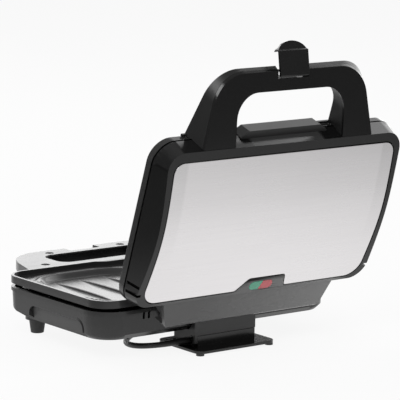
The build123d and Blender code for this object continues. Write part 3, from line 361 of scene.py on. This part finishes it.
def metalMaterial(name, tone, roughLow, roughHigh, scale=220.0, tint=(1.0, 1.0, 1.0)):
    t = metalTexture
    sh = Shader(name)
    spot = sh.place()
    cloud = sh.noise(spot, scale, detail=4.0)
    fine = sh.noise(spot, scale * t["fine"], detail=2.0)
    colour = sh.blend(cloud, tinted(tone * t["worn"], tint), tinted(tone, tint))
    rough = sh.spread(cloud, roughLow, roughHigh)
    normal = sh.bump(fine, t["bump"], t["depth"])
    return sh.finish(Base_Color=colour, Roughness=rough, Normal=normal, Metallic=1.0)


softTexture = {"cloud": 60.0, "fine": 700.0, "bump": 0.3, "depth": 0.05 * mm}


def softMaterial(name, dark, light, roughLow, roughHigh):
    t = softTexture
    sh = Shader(name)
    spot = sh.place()
    cloud = sh.noise(spot, t["cloud"], detail=4.0)
    fine = sh.noise(spot, t["fine"])
    colour = sh.blend(cloud, dark, light)
    rough = sh.spread(fine, roughLow, roughHigh)
    return sh.finish(Base_Color=colour, Roughness=rough, Normal=sh.bump(fine, t["bump"], t["depth"]))


lensLook = {
    "ribs": 160.0, "ribBump": 0.15, "ribDepth": 0.05 * mm, "cloud": 120.0, "roughLow": 0.08, "roughHigh": 0.16,
    "clear": 0.1, "coat": 0.5,
}


def lensMaterial(name, dark, light):
    s = lensLook
    sh = Shader(name)
    spot = sh.place()
    bands = {"wave_type": "BANDS", "bands_direction": "X"}
    ribs = sh.node("ShaderNodeTexWave", bands, {"Vector": spot, "Scale": s["ribs"]})
    cloud = sh.noise(spot, s["cloud"], detail=2.0)
    return sh.finish(
        Base_Color=sh.blend(cloud, dark, light), Roughness=sh.spread(cloud, s["roughLow"], s["roughHigh"]),
        Normal=sh.bump(ribs, s["ribBump"], s["ribDepth"]), Transmission_Weight=s["clear"], Coat_Weight=s["coat"],
    )


materials = {
    "gloss": plasticMaterial("glossBlackPlastic", glossLook),
    "frame": plasticMaterial("lidFramePlastic", glossLook, shadeFrame),
    "satin": plasticMaterial("satinBlackPlastic", satinLook),
    "tub": plasticMaterial("tubBlackPlastic", tubLook, shadeTub),
    "grip": plasticMaterial("litGripPlastic", litGripLook, shadeGrip),
    "stand": plasticMaterial("litStandPlastic", litStandLook),
    "block": plasticMaterial("hingeBlockLitPlastic", litBlockLook, shadeBlock),
    "coating": coatingMaterial("nonStickCoating", coatingLook),
    "panel": panelMaterial("brushedPanelSteel", panelLook),
    "heater": metalMaterial("heatDarkenedSteel", 0.3, roughLow=0.35, roughHigh=0.55, tint=(1.0, 0.93, 0.85)),
    "bright": metalMaterial("millFinishSheet", 0.75, roughLow=0.25, roughHigh=0.4),
    "zinc": metalMaterial("zincPlatedSteel", 0.62, roughLow=0.25, roughHigh=0.4, scale=500.0),
    "blackScrew": metalMaterial("blackOxideSteel", 0.06, roughLow=0.3, roughHigh=0.45, scale=500.0),
    "brass": metalMaterial("nickelledBrass", 0.7, roughLow=0.2, roughHigh=0.35, scale=400.0, tint=(1.0, 0.88, 0.6)),
    "rubber": softMaterial("matteRubber", grey(0.035), grey(0.055), roughLow=0.5, roughHigh=0.75),
    "cord": softMaterial("cordSheath", grey(0.01), grey(0.018), roughLow=0.38, roughHigh=0.55),
    "plugPlastic": softMaterial("plugBodyPlastic", grey(0.012), grey(0.02), roughLow=0.4, roughHigh=0.6),
    "ivory": softMaterial(
        "terminalPlastic", (0.62, 0.57, 0.46, 1), (0.7, 0.66, 0.55, 1), roughLow=0.4, roughHigh=0.6,
    ),
    "green": lensMaterial("greenLens", (0.045, 0.38, 0.22, 1), (0.08, 0.5, 0.31, 1)),
    "red": lensMaterial("redLens", (0.6, 0.06, 0.075, 1), (0.78, 0.11, 0.13, 1)),
    "lampGlass": softMaterial(
        "lampGlass", (0.7, 0.68, 0.66, 1), (0.85, 0.84, 0.83, 1), roughLow=0.08, roughHigh=0.16,
    ),
}

nodeFinish = {
    "base_housing": "tub", "base_handle": "gloss", "base_handle_cover": "tub", "rear_stand": "stand",
    "stand_plate": "gloss", "lid_housing": "frame", "hinge_cover": "block", "lid_handle": "satin",
    "lid_handle_cover": "gloss", "latch": "gloss", "lower_plate": "coating", "upper_plate": "coating",
    "steel_panel": "panel", "lower_element": "heater", "upper_element": "heater", "lower_reflector": "bright",
    "upper_reflector": "bright", "thermostat": "bright", "base_handle_screws": "blackScrew",
    "base_screws": "zinc", "stand_screws": "zinc", "lid_screws": "zinc", "lid_handle_screws": "zinc",
    "hinge_pins": "zinc", "latch_pin": "zinc", "front_feet": "rubber", "rear_pads": "rubber",
    "strain_relief": "cord", "power_cord": "cord", "cord_coil": "cord", "plug": "plugPlastic",
    "plug_pins": "brass", "thermal_fuse": "brass", "terminal_block": "ivory",
    "green_lens": "green", "red_lens": "red", "indicator_lamps": "lampGlass",
}
for name, item in nodes.items():
    item.data.materials.clear()
    item.data.materials.append(materials[nodeFinish[name]])
print("materials made")


def linked(name, mesh):
    made = bpy.data.objects.new(name, mesh)
    scene.collection.objects.link(made)
    return made


def plainMesh(item):  # modifiers applied
    graph = bpy.context.evaluated_depsgraph_get()
    graph.update()
    return bpy.data.meshes.new_from_object(item.evaluated_get(graph))


def lidFrame(point):  # reach from the hinge along the open lid, and height above it
    offset = point - Vector((0, hingeY * mm, hingeZ * mm))
    return offset.dot(lidReach), offset.dot(lidUp)


def smooth(t):
    t = min(max(t, 0.0), 1.0)
    return t * t * (3 - 2 * t)


def outputOf(tree, kind, settings, values):  # one Geometry Nodes node with its values or links
    made = tree.nodes.new(kind)
    for key, value in settings.items():
        setattr(made, key, value)
    for key, value in values.items():
        if isinstance(value, bpy.types.NodeSocket):
            tree.links.new(value, made.inputs[key])
        else:
            made.inputs[key].default_value = value
    return made


def treeWith(name, sizes):
    tree = bpy.data.node_groups.new(name, "GeometryNodeTree")
    tree.interface.new_socket("Geometry", in_out="OUTPUT", socket_type="NodeSocketGeometry")
    tree.interface.new_socket("Geometry", in_out="INPUT", socket_type="NodeSocketGeometry")
    for label, kind in sizes:
        tree.interface.new_socket(label, in_out="INPUT", socket_type="NodeSocket" + kind)
    return tree, tree.nodes.new("NodeGroupInput"), tree.nodes.new("NodeGroupOutput")


def finishTree(tree, instances, material, shown):  # real faces with their finish, as the tree's result
    real = outputOf(tree, "GeometryNodeRealizeInstances", {}, {0: instances})
    done = outputOf(tree, "GeometryNodeSetMaterial", {}, {"Geometry": real.outputs[0], "Material": material})
    tree.links.new(done.outputs[0], shown.inputs[0])


def grown(tree, values, source=None):  # plain mesh that a tree gives for these values
    item = linked(tree.name + "Source", source or bpy.data.meshes.new("empty"))
    modifier = item.modifiers.new("nodes", "NODES")
    modifier.node_group = tree
    for socket in tree.interface.items_tree:
        if socket.in_out == "INPUT" and socket.name in values:
            modifier[socket.identifier] = values[socket.name]
    mesh = plainMesh(item)
    bpy.data.objects.remove(item)
    return mesh


# The long outer edge of the lid's crowned top
crownEdge = {
    "width": 2.4, "segments": 4, "topFacing": 0.86, "sideFacing": 0.5, "middle": 95.0, "outward": 0.02,
    "height": 15.0,
}


def softenCrown(work, s):
    chosen = []
    for edge in work.edges:
        if len(edge.link_faces) != 2:
            continue
        side, top = sorted(edge.link_faces, key=lambda face: face.normal.dot(lidUp))
        if top.normal.dot(lidUp) < s["topFacing"] or side.normal.dot(lidUp) > s["sideFacing"] or not edge.is_convex:
            continue
        middle = (edge.verts[0].co + edge.verts[1].co) / 2
        reach, height = lidFrame(middle)
        outward = Vector((middle.x, reach - s["middle"] * mm))
        facing = Vector((side.normal.x, side.normal.dot(lidReach)))
        if outward.dot(facing) > s["outward"] and height > s["height"] * mm:
            chosen.append(edge)
    print("crown edges", len(chosen), "of", len(work.edges))
    bmesh.ops.bevel(
        work, geom=chosen, offset=s["width"] * mm, segments=s["segments"], profile=0.5, affect="EDGES",
        clamp_overlap=True, offset_type="OFFSET",
    )


# Cooking face of both plates: pockets with bulging sides, a groove and a ridge round them
plateFace = {
    "halfWidth": 142.6, "back": -14.9, "front": -180.1, "corner": 19.6, "land": 5.0, "floor": 10.0,
    "pocketX": 67.5, "pocketY": -97.5, "pocketHalfX": 62.5, "pocketHalfY": 70.0, "squareness": 3.6,
    "wallWidth": 6.0, "groove": 0.9, "grooveAt": -3.6, "grooveWidth": 1.1, "ridge": 0.6, "ridgeAt": -1.0,
    "ridgeWidth": 0.9, "columns": 168, "rows": 98, "scallopDepth": 6.0, "scallopFlat": 24.0, "scallopEnd": 36.0,
    "margin": 1.0, "landSlack": 0.6, "floorSlack": 0.9,
}
upperRim = 5.4
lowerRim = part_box("lower_plate")[1][2]


def faceDepth(x, y, s):  # depth below the rim of a plate's open face
    n = s["squareness"]
    across = abs(abs(x) - s["pocketX"]) / s["pocketHalfX"]
    along = abs(y - s["pocketY"]) / s["pocketHalfY"]
    inside = (1 - (across ** n + along ** n) ** (1 / n)) * s["pocketHalfX"]
    depth = s["land"] + (s["floor"] - s["land"]) * smooth(inside / s["wallWidth"])
    depth += s["groove"] * math.exp(-(((inside - s["grooveAt"]) / s["grooveWidth"]) ** 2))
    depth -= s["ridge"] * math.exp(-(((inside - s["ridgeAt"]) / s["ridgeWidth"]) ** 2))
    return depth


def plateSpot(i, j, s, notched):  # one point of the face, kept inside the plate's round corners
    x = -s["halfWidth"] + 2 * s["halfWidth"] * i / s["columns"]
    front = s["front"]
    if notched:
        front += s["scallopDepth"] * (1 - smooth((abs(x) - s["scallopFlat"]) / (s["scallopEnd"] - s["scallopFlat"])))
    y = front + (s["back"] - front) * j / s["rows"]
    c = s["corner"]
    rearward = 1 if y > s["pocketY"] else -1
    cornerX = s["halfWidth"] - c
    cornerY = s["back"] - c if rearward > 0 else s["front"] + c
    dx, dy = abs(x) - cornerX, (y - cornerY) * rearward
    if dx > 0 and dy > 0 and math.hypot(dx, dy) > c:
        shrink = c / math.hypot(dx, dy)
        x = math.copysign(cornerX + dx * shrink, x)
        y = cornerY + dy * shrink * rearward
    return x, y, -faceDepth(x, y, s)


def plateGrid(s, notched):
    points = [plateSpot(i, j, s, notched) for i in range(s["columns"] + 1) for j in range(s["rows"] + 1)]
    step = s["rows"] + 1
    firsts = [i * step + j for i in range(s["columns"]) for j in range(s["rows"])]
    return points, [(k, k + step, k + step + 1, k + 1) for k in firsts]


def lowerPlace(x, y, up):
    return Vector((x * mm, (y + hingeY) * mm, lowerRim + up * mm))


def upperPlace(x, y, up):  # the same face on the open lid
    offset = lidReach * -y + lidUp * (upperRim - up)
    return Vector((x * mm, (hingeY + offset.y) * mm, (hingeZ + offset.z) * mm))


def lowerDepth(spot):
    return spot.x / mm, spot.y / mm - hingeY, (lowerRim - spot.z) / mm


def upperDepth(spot):
    reach, height = lidFrame(spot)
    return spot.x / mm, -reach / mm, height / mm - upperRim


def clearFace(work, depthOf, s):  # takes away the plain face that the shaped one stands for
    gone = []
    for face in work.faces:
        x, y, depth = depthOf(face.calc_center_median())
        across = abs(x) < s["halfWidth"] - s["margin"]
        along = s["front"] + s["margin"] < y < s["back"] - s["margin"]
        if across and along and s["land"] - s["landSlack"] < depth < s["floor"] + s["floorSlack"]:
            gone.append(face)
    bmesh.ops.delete(work, geom=gone, context="FACES")


# Ribs of the cooking faces, which taper to a point at both ends
ribLook = {
    "count": 8, "pitch": 29.5, "length": 112.0, "width": 3.6, "height": 2.4, "middle": -99.0, "sunk": 0.15,
    "acrossPoints": 9, "alongPoints": 41, "taper": 2.5, "slimmest": 0.02, "slimness": 0.6,
}


def ribTree(s):
    sizes = [("Count", "Int"), ("Pitch", "Float"), ("Length", "Float"), ("Width", "Float"), ("Height", "Float")]
    tree, given, shown = treeWith("plateRibs", sizes + [("Finish", "Material")])
    size = given.outputs

    def sums(operation, a, b=None):
        values = {0: a} if b is None else {0: a, 1: b}
        return outputOf(tree, "ShaderNodeMath", {"operation": operation}, values).outputs[0]

    sheet = outputOf(tree, "GeometryNodeMeshGrid", {}, {
        "Size X": size["Width"], "Size Y": size["Length"],
        "Vertices X": s["acrossPoints"], "Vertices Y": s["alongPoints"],
    })
    spot = tree.nodes.new("GeometryNodeInputPosition")
    parts = outputOf(tree, "ShaderNodeSeparateXYZ", {}, {0: spot.outputs[0]})
    across = sums("DIVIDE", sums("MULTIPLY", parts.outputs[0], 2.0), size["Width"])
    along = sums("DIVIDE", sums("MULTIPLY", parts.outputs[1], 2.0), size["Length"])
    hump = sums("SUBTRACT", 1.0, sums("MULTIPLY", across, across))
    taper = sums("SUBTRACT", 1.0, sums("POWER", sums("ABSOLUTE", along), s["taper"]))
    lift = sums("MULTIPLY", sums("MULTIPLY", hump, taper), size["Height"])
    slim = sums("MULTIPLY", parts.outputs[0], sums("POWER", sums("ADD", taper, s["slimmest"]), s["slimness"]))
    moved = outputOf(tree, "ShaderNodeCombineXYZ", {}, {0: slim, 1: parts.outputs[1], 2: lift})
    rib = outputOf(tree, "GeometryNodeSetPosition", {}, {"Geometry": sheet.outputs[0], "Position": moved.outputs[0]})
    half = sums("MULTIPLY", sums("SUBTRACT", size["Count"], 1.0), -0.5)
    start = outputOf(tree, "ShaderNodeCombineXYZ", {}, {0: sums("MULTIPLY", half, size["Pitch"])})
    step = outputOf(tree, "ShaderNodeCombineXYZ", {}, {0: size["Pitch"]})
    row = outputOf(tree, "GeometryNodeMeshLine", {"mode": "OFFSET"}, {
        "Count": size["Count"], "Start Location": start.outputs[0], "Offset": step.outputs[0],
    })
    placed = outputOf(tree, "GeometryNodeInstanceOnPoints", {}, {"Points": row.outputs[0], "Instance": rib.outputs[0]})
    finishTree(tree, placed.outputs[0], size["Finish"], shown)
    return tree


ribs = grown(ribTree(ribLook), {
    "Count": ribLook["count"], "Pitch": ribLook["pitch"], "Length": ribLook["length"], "Width": ribLook["width"],
    "Height": ribLook["height"], "Finish": materials["coating"],
})
print("plate ribs", len(ribs.vertices))


def addFace(work, place, notched, flip):
    points, quads = plateGrid(plateFace, notched)
    spots = [work.verts.new(place(*point)) for point in points]
    sunk = plateFace["floor"] + ribLook["sunk"]
    ribSpots = [work.verts.new(place(v.co.x, v.co.y + ribLook["middle"], v.co.z - sunk)) for v in ribs.vertices]
    for corners, faces in ((spots, quads), (ribSpots, [tuple(face.vertices) for face in ribs.polygons])):
        for face in faces:
            work.faces.new([corners[k] for k in (reversed(face) if flip else face)])
    bmesh.ops.remove_doubles(work, verts=spots, dist=1e-5)


# Skins that close both rear corners of the tub
cornerSkin = {
    "x": 115.0, "y": -42.5, "radius": 29.0, "top": 48.5, "bead": 45.2, "chamfer": 25.0, "low": 21.4, "draft": 3.0,
    "proud": 0.12, "wall": 1.6, "steps": 24,
}


def skinRing(work, s, side, radius, level):
    turns = [math.radians(90 * k / s["steps"]) for k in range(s["steps"] + 1)]
    spots = [(side * (s["x"] + radius * math.cos(a)), hingeY + s["y"] + radius * math.sin(a), level) for a in turns]
    return [work.verts.new([mm * length for length in spot]) for spot in spots]


def addCornerSkins(work, s):
    slope = math.tan(math.radians(s["draft"]))
    waist = (s["bead"] + s["chamfer"]) / 2
    levels = [(s["bead"], 0.0), (waist, 0.0), (s["chamfer"], 0.0), (s["low"], s["chamfer"] - s["low"])]
    for side in (-1, 1):
        for inset, turned in ((0.0, side > 0), (s["wall"], side < 0)):
            rings = []
            for level, shrink in levels:
                radius = s["radius"] - (s["top"] - max(level, s["chamfer"])) * slope - shrink + s["proud"]
                rings.append(skinRing(work, s, side, radius - inset, level))
            for high, low in zip(rings[:-1], rings[1:]):
                for k in range(s["steps"]):
                    quad = (high[k], low[k], low[k + 1], high[k + 1])
                    work.faces.new(quad if turned else tuple(reversed(quad)))


# The base handle's outer corners, seen from above
handleCorner = {"offset": 13.0, "segments": 7, "side": 80.0, "front": -212.0, "upright": 0.9, "turn": 12.0}


def roundHandleCorners(work, s):
    chosen = []
    for edge in work.edges:
        one, two = (v.co for v in edge.verts)
        upright = abs(one.z - two.z) > s["upright"] * (one - two).length
        outside = abs(one.x) > s["side"] * mm and one.y < (hingeY + s["front"]) * mm
        if upright and outside and len(edge.link_faces) == 2 and edge.calc_face_angle(0) > math.radians(s["turn"]):
            chosen.append(edge)
    bmesh.ops.bevel(
        work, geom=chosen, offset=s["offset"] * mm, segments=s["segments"], profile=0.5, affect="EDGES",
        clamp_overlap=True, offset_type="OFFSET",
    )


# The side grips' wall leans in towards its foot
gripWall = {"lean": 3.4, "x": 140.0, "near": 0.05, "top": 35.5, "height": 15.5, "slack": 0.1}


def leanGrips(work, s):
    for v in work.verts:
        onWall = abs(abs(v.co.x) - s["x"] * mm) < s["near"] * mm
        if onWall and v.co.z < (s["top"] + s["slack"]) * mm:
            v.co.x -= math.copysign(s["lean"] * mm * (s["top"] - v.co.z / mm) / s["height"], v.co.x)


# The latch's rounded lip, a little less high than in the solid
lipLook = {"from": 301.0, "share": 0.68}


def lowerLip(work, s):
    for v in work.verts:
        if v.co.z > s["from"] * mm:
            v.co.z = (s["from"] + (v.co.z / mm - s["from"]) * s["share"]) * mm


# Rounded copies of the moulded and cast nodes, so that their edges catch the light
roundings = {
    "base_housing": 0.9, "base_handle": 0.7, "base_handle_cover": 0.7, "rear_stand": 0.8,
    "stand_plate": 0.7, "lid_housing": 0.7, "hinge_cover": 1.2, "lid_handle": 0.7,
    "lid_handle_cover": 0.9, "latch": 0.5, "lower_plate": 0.5, "upper_plate": 0.5,
    "steel_panel": 0.25, "front_feet": 0.6, "plug": 1.2, "green_lens": 0.4, "red_lens": 0.4,
}
reshape = {  # before the edges are rounded
    "lid_housing": lambda work: softenCrown(work, crownEdge),
    "base_housing": lambda work: leanGrips(work, gripWall),
    "latch": lambda work: lowerLip(work, lipLook),
    "base_handle": lambda work: roundHandleCorners(work, handleCorner),
    "base_handle_cover": lambda work: roundHandleCorners(work, handleCorner),
    "lower_plate": lambda work: clearFace(work, lowerDepth, plateFace),
    "upper_plate": lambda work: clearFace(work, upperDepth, plateFace),
}
addTo = {  # after the edges are rounded
    "base_housing": lambda work: addCornerSkins(work, cornerSkin),
    "lower_plate": lambda work: addFace(work, lowerPlace, True, False),
    "upper_plate": lambda work: addFace(work, upperPlace, False, True),
}
meshRules = {"merge": 2e-6, "flat": 0.6, "segments": 2, "bevelTurn": 32, "sharpTurn": 40}


def edited(mesh, change):
    work = bmesh.new()
    work.from_mesh(mesh)
    change(work)
    work.to_mesh(mesh)
    work.free()


def cleaned(node, s):  # copy of a node's mesh with its doubles merged and its flat faces joined
    mesh = nodes[node].data.copy()

    def change(work):
        bmesh.ops.remove_doubles(work, verts=work.verts, dist=s["merge"])
        bmesh.ops.dissolve_degenerate(work, edges=work.edges, dist=s["merge"])
        bmesh.ops.dissolve_limit(
            work, angle_limit=math.radians(s["flat"]), verts=work.verts, edges=work.edges,
            use_dissolve_boundaries=False,
        )
        if node in reshape:
            reshape[node](work)

    edited(mesh, change)
    return mesh


housingPaint = {
    "lugBack": -12.2, "lugSide": 80.0, "gripFrom": 136.0, "gripTo": 140.3, "gripTop": 35.0, "gripFacing": 0.9,
}


def paintHousing(item, s):  # hinge lugs in the darker gloss plastic as painted shade of the hinge pocket, and side grips in the painted-light grip plastic
    item.data.materials.append(materials["gloss"])
    item.data.materials.append(materials["grip"])
    for face in item.data.polygons:
        x, y, z = abs(face.center.x) / mm, face.center.y / mm, face.center.z / mm
        # Painted shade: the hinge lugs take the darker gloss plastic
        if y > hingeY + s["lugBack"] and x < s["lugSide"]:
            face.material_index = 1
        if abs(face.normal.x) > s["gripFacing"] and s["gripFrom"] < x < s["gripTo"] and z < s["gripTop"]:
            face.material_index = 2


def rounded(node, width, s):
    item = linked(node + "_rounded", cleaned(node, s))
    bevel = item.modifiers.new("edge", "BEVEL")
    bevel.width = width * mm
    bevel.segments = s["segments"]
    bevel.limit_method = "ANGLE"
    bevel.angle_limit = math.radians(s["bevelTurn"])
    bevel.harden_normals = False
    done = plainMesh(item)
    item.modifiers.clear()
    if node in addTo:
        edited(done, addTo[node])
    item.data = done
    done.polygons.foreach_set("use_smooth", [True] * len(done.polygons))
    done.set_sharp_from_angle(angle=math.radians(s["sharpTurn"]))
    weighted = item.modifiers.new("weight", "WEIGHTED_NORMAL")
    weighted.keep_sharp = True
    done.materials.clear()
    done.materials.append(materials[nodeFinish[node]])
    if node == "base_housing":
        paintHousing(item, housingPaint)
    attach(item, bodyOf[node])
    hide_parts(node)


for name, width in roundings.items():
    rounded(name, width, meshRules)
print("rounded pieces made")

# Cross-recessed heads on the four screws under the base
screwLook = {
    "radius": 3.0, "height": 1.0, "slotWidth": 0.9, "slotLength": 3.6, "slotDepth": 0.8, "level": 22.3,
    "inset": 3.2, "sides": 28,
}


def screwTree(s):
    labels = ("Radius", "Height", "Slot Width", "Slot Length", "Slot Depth")
    tree, given, shown = treeWith("crossHeads", [(label, "Float") for label in labels] + [("Finish", "Material")])
    size = given.outputs
    head = outputOf(tree, "GeometryNodeMeshCylinder", {}, {
        "Vertices": s["sides"], "Side Segments": 1, "Radius": size["Radius"], "Depth": size["Height"],
    })
    half = outputOf(tree, "ShaderNodeMath", {"operation": "MULTIPLY"}, {0: size["Height"], 1: -0.5})
    down = outputOf(tree, "ShaderNodeCombineXYZ", {}, {2: half.outputs[0]})
    cut = tree.nodes.new("GeometryNodeMeshBoolean")
    cut.operation = "DIFFERENCE"
    tree.links.new(head.outputs[0], cut.inputs[0])
    for a, b in (("Slot Width", "Slot Length"), ("Slot Length", "Slot Width")):
        reach = outputOf(tree, "ShaderNodeCombineXYZ", {}, {0: size[a], 1: size[b], 2: size["Slot Depth"]})
        bar = outputOf(tree, "GeometryNodeMeshCube", {}, {"Size": reach.outputs[0]})
        moved = outputOf(tree, "GeometryNodeTransform", {}, {
            "Geometry": bar.outputs[0], "Translation": down.outputs[0],
        })
        tree.links.new(moved.outputs[0], cut.inputs[1])
    placed = outputOf(tree, "GeometryNodeInstanceOnPoints", {}, {
        "Points": size["Geometry"], "Instance": cut.outputs[0],
    })
    finishTree(tree, placed.outputs[0], size["Finish"], shown)
    return tree


def buildScrewHeads(s):
    low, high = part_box("base_screws")
    inset, level = s["inset"] * mm, s["level"] * mm + s["height"] * mm / 2
    places = [(x, y, level) for x in (low[0] + inset, high[0] - inset) for y in (low[1] + inset, high[1] - inset)]
    source = bpy.data.meshes.new("screwPlaces")
    source.from_pydata(places, [], [])
    values = {
        "Radius": s["radius"] * mm, "Height": s["height"] * mm, "Slot Width": s["slotWidth"] * mm,
        "Slot Length": s["slotLength"] * mm, "Slot Depth": s["slotDepth"] * mm, "Finish": materials["zinc"],
    }
    heads = linked("base_screw_heads", grown(screwTree(s), values, source))
    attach(heads, "base")
    print("screw heads", len(heads.data.vertices))


buildScrewHeads(screwLook)

# Cord: the route from part.py, then its coil as more points of the same spline
cordLook = {
    "radius": 2.8, "lie": 2.9, "upperLie": 9.1, "middle": 30.0, "pitch": 7.4, "coilY": 132.0, "steps": 8,
    "halfTurns": 4, "plugX": -47.0, "exit": (52.0, -19.0, 8.6), "length": 0.96, "roundness": 6,
}
startX = cordLook["middle"] + cordLook["pitch"] * cordLook["halfTurns"] / 4
route = [
    cordLook["exit"], (72.0, -19.0, 8.6), (88.0, -39.0, 5.75), (77.0, -71.0, 2.9), (startX, -101.0, 2.9),
    (startX, -126.0, 2.9),
]


def coilPoints(s):  # half turns outwards in the lower layer, then inwards in the upper one
    reach = [s["middle"] + s["pitch"] * (s["halfTurns"] / 4 - k / 2) for k in range(s["halfTurns"] + 1)]
    knots = [((-1) ** k * r, s["lie"]) for k, r in enumerate(reach)]
    knots += [((-1) ** (s["halfTurns"] + 1 + k) * r, s["upperLie"]) for k, r in enumerate(reversed(reach))]
    points = []
    for step, (here, there) in enumerate(zip(knots[:-1], knots[1:])):
        heading = -1 if step % 2 == 0 else 1
        middle, size = (here[0] + there[0]) / 2, abs(here[0] - there[0]) / 2
        start = 0.0 if here[0] > there[0] else math.pi
        last = step == len(knots) - 2
        for k in range(s["steps"] // 2 + 1 if last else s["steps"]):
            turn = math.pi * k / s["steps"]
            angle = start + turn * heading * (-1 if start else 1)
            ease = (1 - math.cos(turn)) / 2
            y = -s["coilY"] + heading * size * math.sin(turn)
            points.append((middle + size * math.cos(angle), y, here[1] + (there[1] - here[1]) * ease))
    points.append((s["plugX"], points[-1][1], s["upperLie"]))
    return points


def buildCord(s):
    curve = bpy.data.curves.new("mainsCord", "CURVE")
    curve.dimensions = "3D"
    curve.bevel_depth = s["radius"] * mm
    curve.bevel_resolution = s["roundness"]
    curve.resolution_u = s["roundness"]
    curve.use_fill_caps = True
    points = route + coilPoints(s)
    spline = curve.splines.new("NURBS")
    spline.points.add(len(points) - 1)
    for point, (x, y, z) in zip(spline.points, points):
        point.co = (x * mm, (y + hingeY) * mm, z * mm, 1.0)
    spline.order_u = 3
    spline.use_endpoint_u = True
    spline.use_smooth = True
    made = linked("mains_cord", curve)
    curve.materials.append(materials["cord"])
    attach(made, "base")
    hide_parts("power_cord", "cord_coil")


buildCord(cordLook)
print("cord made")

# Floor, backdrop and light. The floor's glow in reflections fades away from the machine and towards +X.
stageLook = {
    "size": 8.0, "white": 0.9, "glow": 0.9, "near": 0.14, "far": 1.15, "nearGlow": 1.0, "farGlow": 0.16,
    "sideFrom": 0.27, "sideTo": 0.5, "sideDrop": 0.8,
}


def buildStage(s):
    mesh = bpy.data.meshes.new("studioFloor")
    half = s["size"] / 2
    mesh.from_pydata([(-half, -half, 0), (half, -half, 0), (half, half, 0), (-half, half, 0)], [], [(0, 1, 2, 3)])
    floor = linked("studio_floor", mesh)
    sh = Shader("whiteFloor")
    camera, glossy, through = (
        sh.node("ShaderNodeLightPath", output=ray) for ray in ("Is Camera Ray", "Is Glossy Ray", "Is Transmission Ray")
    )
    reach = sh.node("ShaderNodeVectorMath", {"operation": "LENGTH"}, {0: sh.place()}, "Value")
    fade = sh.spread(sh.window(reach, s["near"], s["far"]), s["nearGlow"], s["farGlow"])
    fade = fade * (1 - sh.window(sh.part(sh.place(), "X"), s["sideFrom"], s["sideTo"]) * s["sideDrop"])
    diffuse = sh.node("ShaderNodeBsdfDiffuse", {}, {"Color": grey(s["white"])})
    glow = sh.node("ShaderNodeEmission", {}, {"Color": grey(1.0), "Strength": camera + (1 - camera) * fade})
    mix = sh.node("ShaderNodeMixShader", {}, {0: (camera + glossy + through) * s["glow"], 1: diffuse, 2: glow})
    sh.node("ShaderNodeOutputMaterial", {}, {"Surface": mix})
    mesh.materials.append(sh.material)


# The room in reflections: a bright low wall, a dimmer band above it, and a little light from the top
wallLook = {
    "sky": 0.26, "across": (-0.61, -0.79, 0.0), "wall": 2.5, "wallFrom": 0.25, "wallTo": 0.75, "wallHigh": 0.4,
    "wallSoft": 0.6, "upper": 0.95, "upperFrom": 0.4, "upperTo": 0.62, "upperHigh": 0.74, "upperSoft": 0.12,
    "topLight": 0.25, "topFrom": 0.8, "topTo": 0.98, "softTone": 0.75, "softStrength": 0.55,
}


def buildWorld(s):
    sh = Shader("studioWall")
    world = bpy.data.worlds.new("studioWorld")
    world.use_nodes = True
    sh.tree = world.node_tree
    sh.tree.nodes.clear()
    camera = sh.node("ShaderNodeLightPath", output="Is Camera Ray")
    glossy = sh.node("ShaderNodeLightPath", output="Is Glossy Ray")
    heading = sh.node("ShaderNodeTexCoord", output="Generated")
    height = sh.part(heading, "Z")
    toWall = sh.node("ShaderNodeVectorMath", {"operation": "DOT_PRODUCT"}, {0: heading, 1: s["across"]}, "Value")
    low = 1 - sh.window(height, s["wallHigh"] * s["wallSoft"], s["wallHigh"])
    wall = sh.window(toWall, s["wallFrom"], s["wallTo"]) * low * s["wall"]
    below = 1 - sh.window(height, s["upperHigh"] - s["upperSoft"], s["upperHigh"])
    upper = sh.window(toWall, s["upperFrom"], s["upperTo"]) * below * s["upper"]
    top = sh.window(height, s["topFrom"], s["topTo"]) * s["topLight"]
    seen = camera + (1 - camera) * (wall.maths("MAXIMUM", upper) + top + s["sky"])
    soft = sh.node("ShaderNodeBackground", {}, {0: grey(s["softTone"]), 1: s["softStrength"]})
    shown = sh.node("ShaderNodeBackground", {}, {0: grey(1.0), 1: seen})
    mix = sh.node("ShaderNodeMixShader", {}, {0: camera + glossy, 1: soft, 2: shown})
    sh.node("ShaderNodeOutputWorld", {}, {"Surface": mix})
    bpy.data.materials.remove(sh.material)
    scene.world = world


lampAim = (0, 0, 0.12)
lamps = {
    "keyLight": {"place": (1.6, 1.2, 1.9), "size": (1.2, 1.2), "power": 26.0},
    "fillLight": {"place": (-2.1, -0.2, 1.7), "size": (1.4, 1.4), "power": 13.0},
    "rimLight": {"place": (0.2, -1.8, 1.6), "size": (1.6, 0.8), "power": 14.0},
}


def areaLight(name, s):
    data = bpy.data.lights.new(name, "AREA")
    data.shape = "RECTANGLE"
    data.size, data.size_y = s["size"]
    data.energy = s["power"]
    place = Vector(s["place"])
    turn = (Vector(lampAim) - place).to_track_quat("-Z", "Y").to_matrix().to_4x4()
    linked(name, data).matrix_world = Matrix.Translation(place) @ turn


buildStage(stageLook)
buildWorld(wallLook)
for name, lamp in lamps.items():
    areaLight(name, lamp)
scene.view_settings.view_transform = "Standard"
print("stage and lights set")
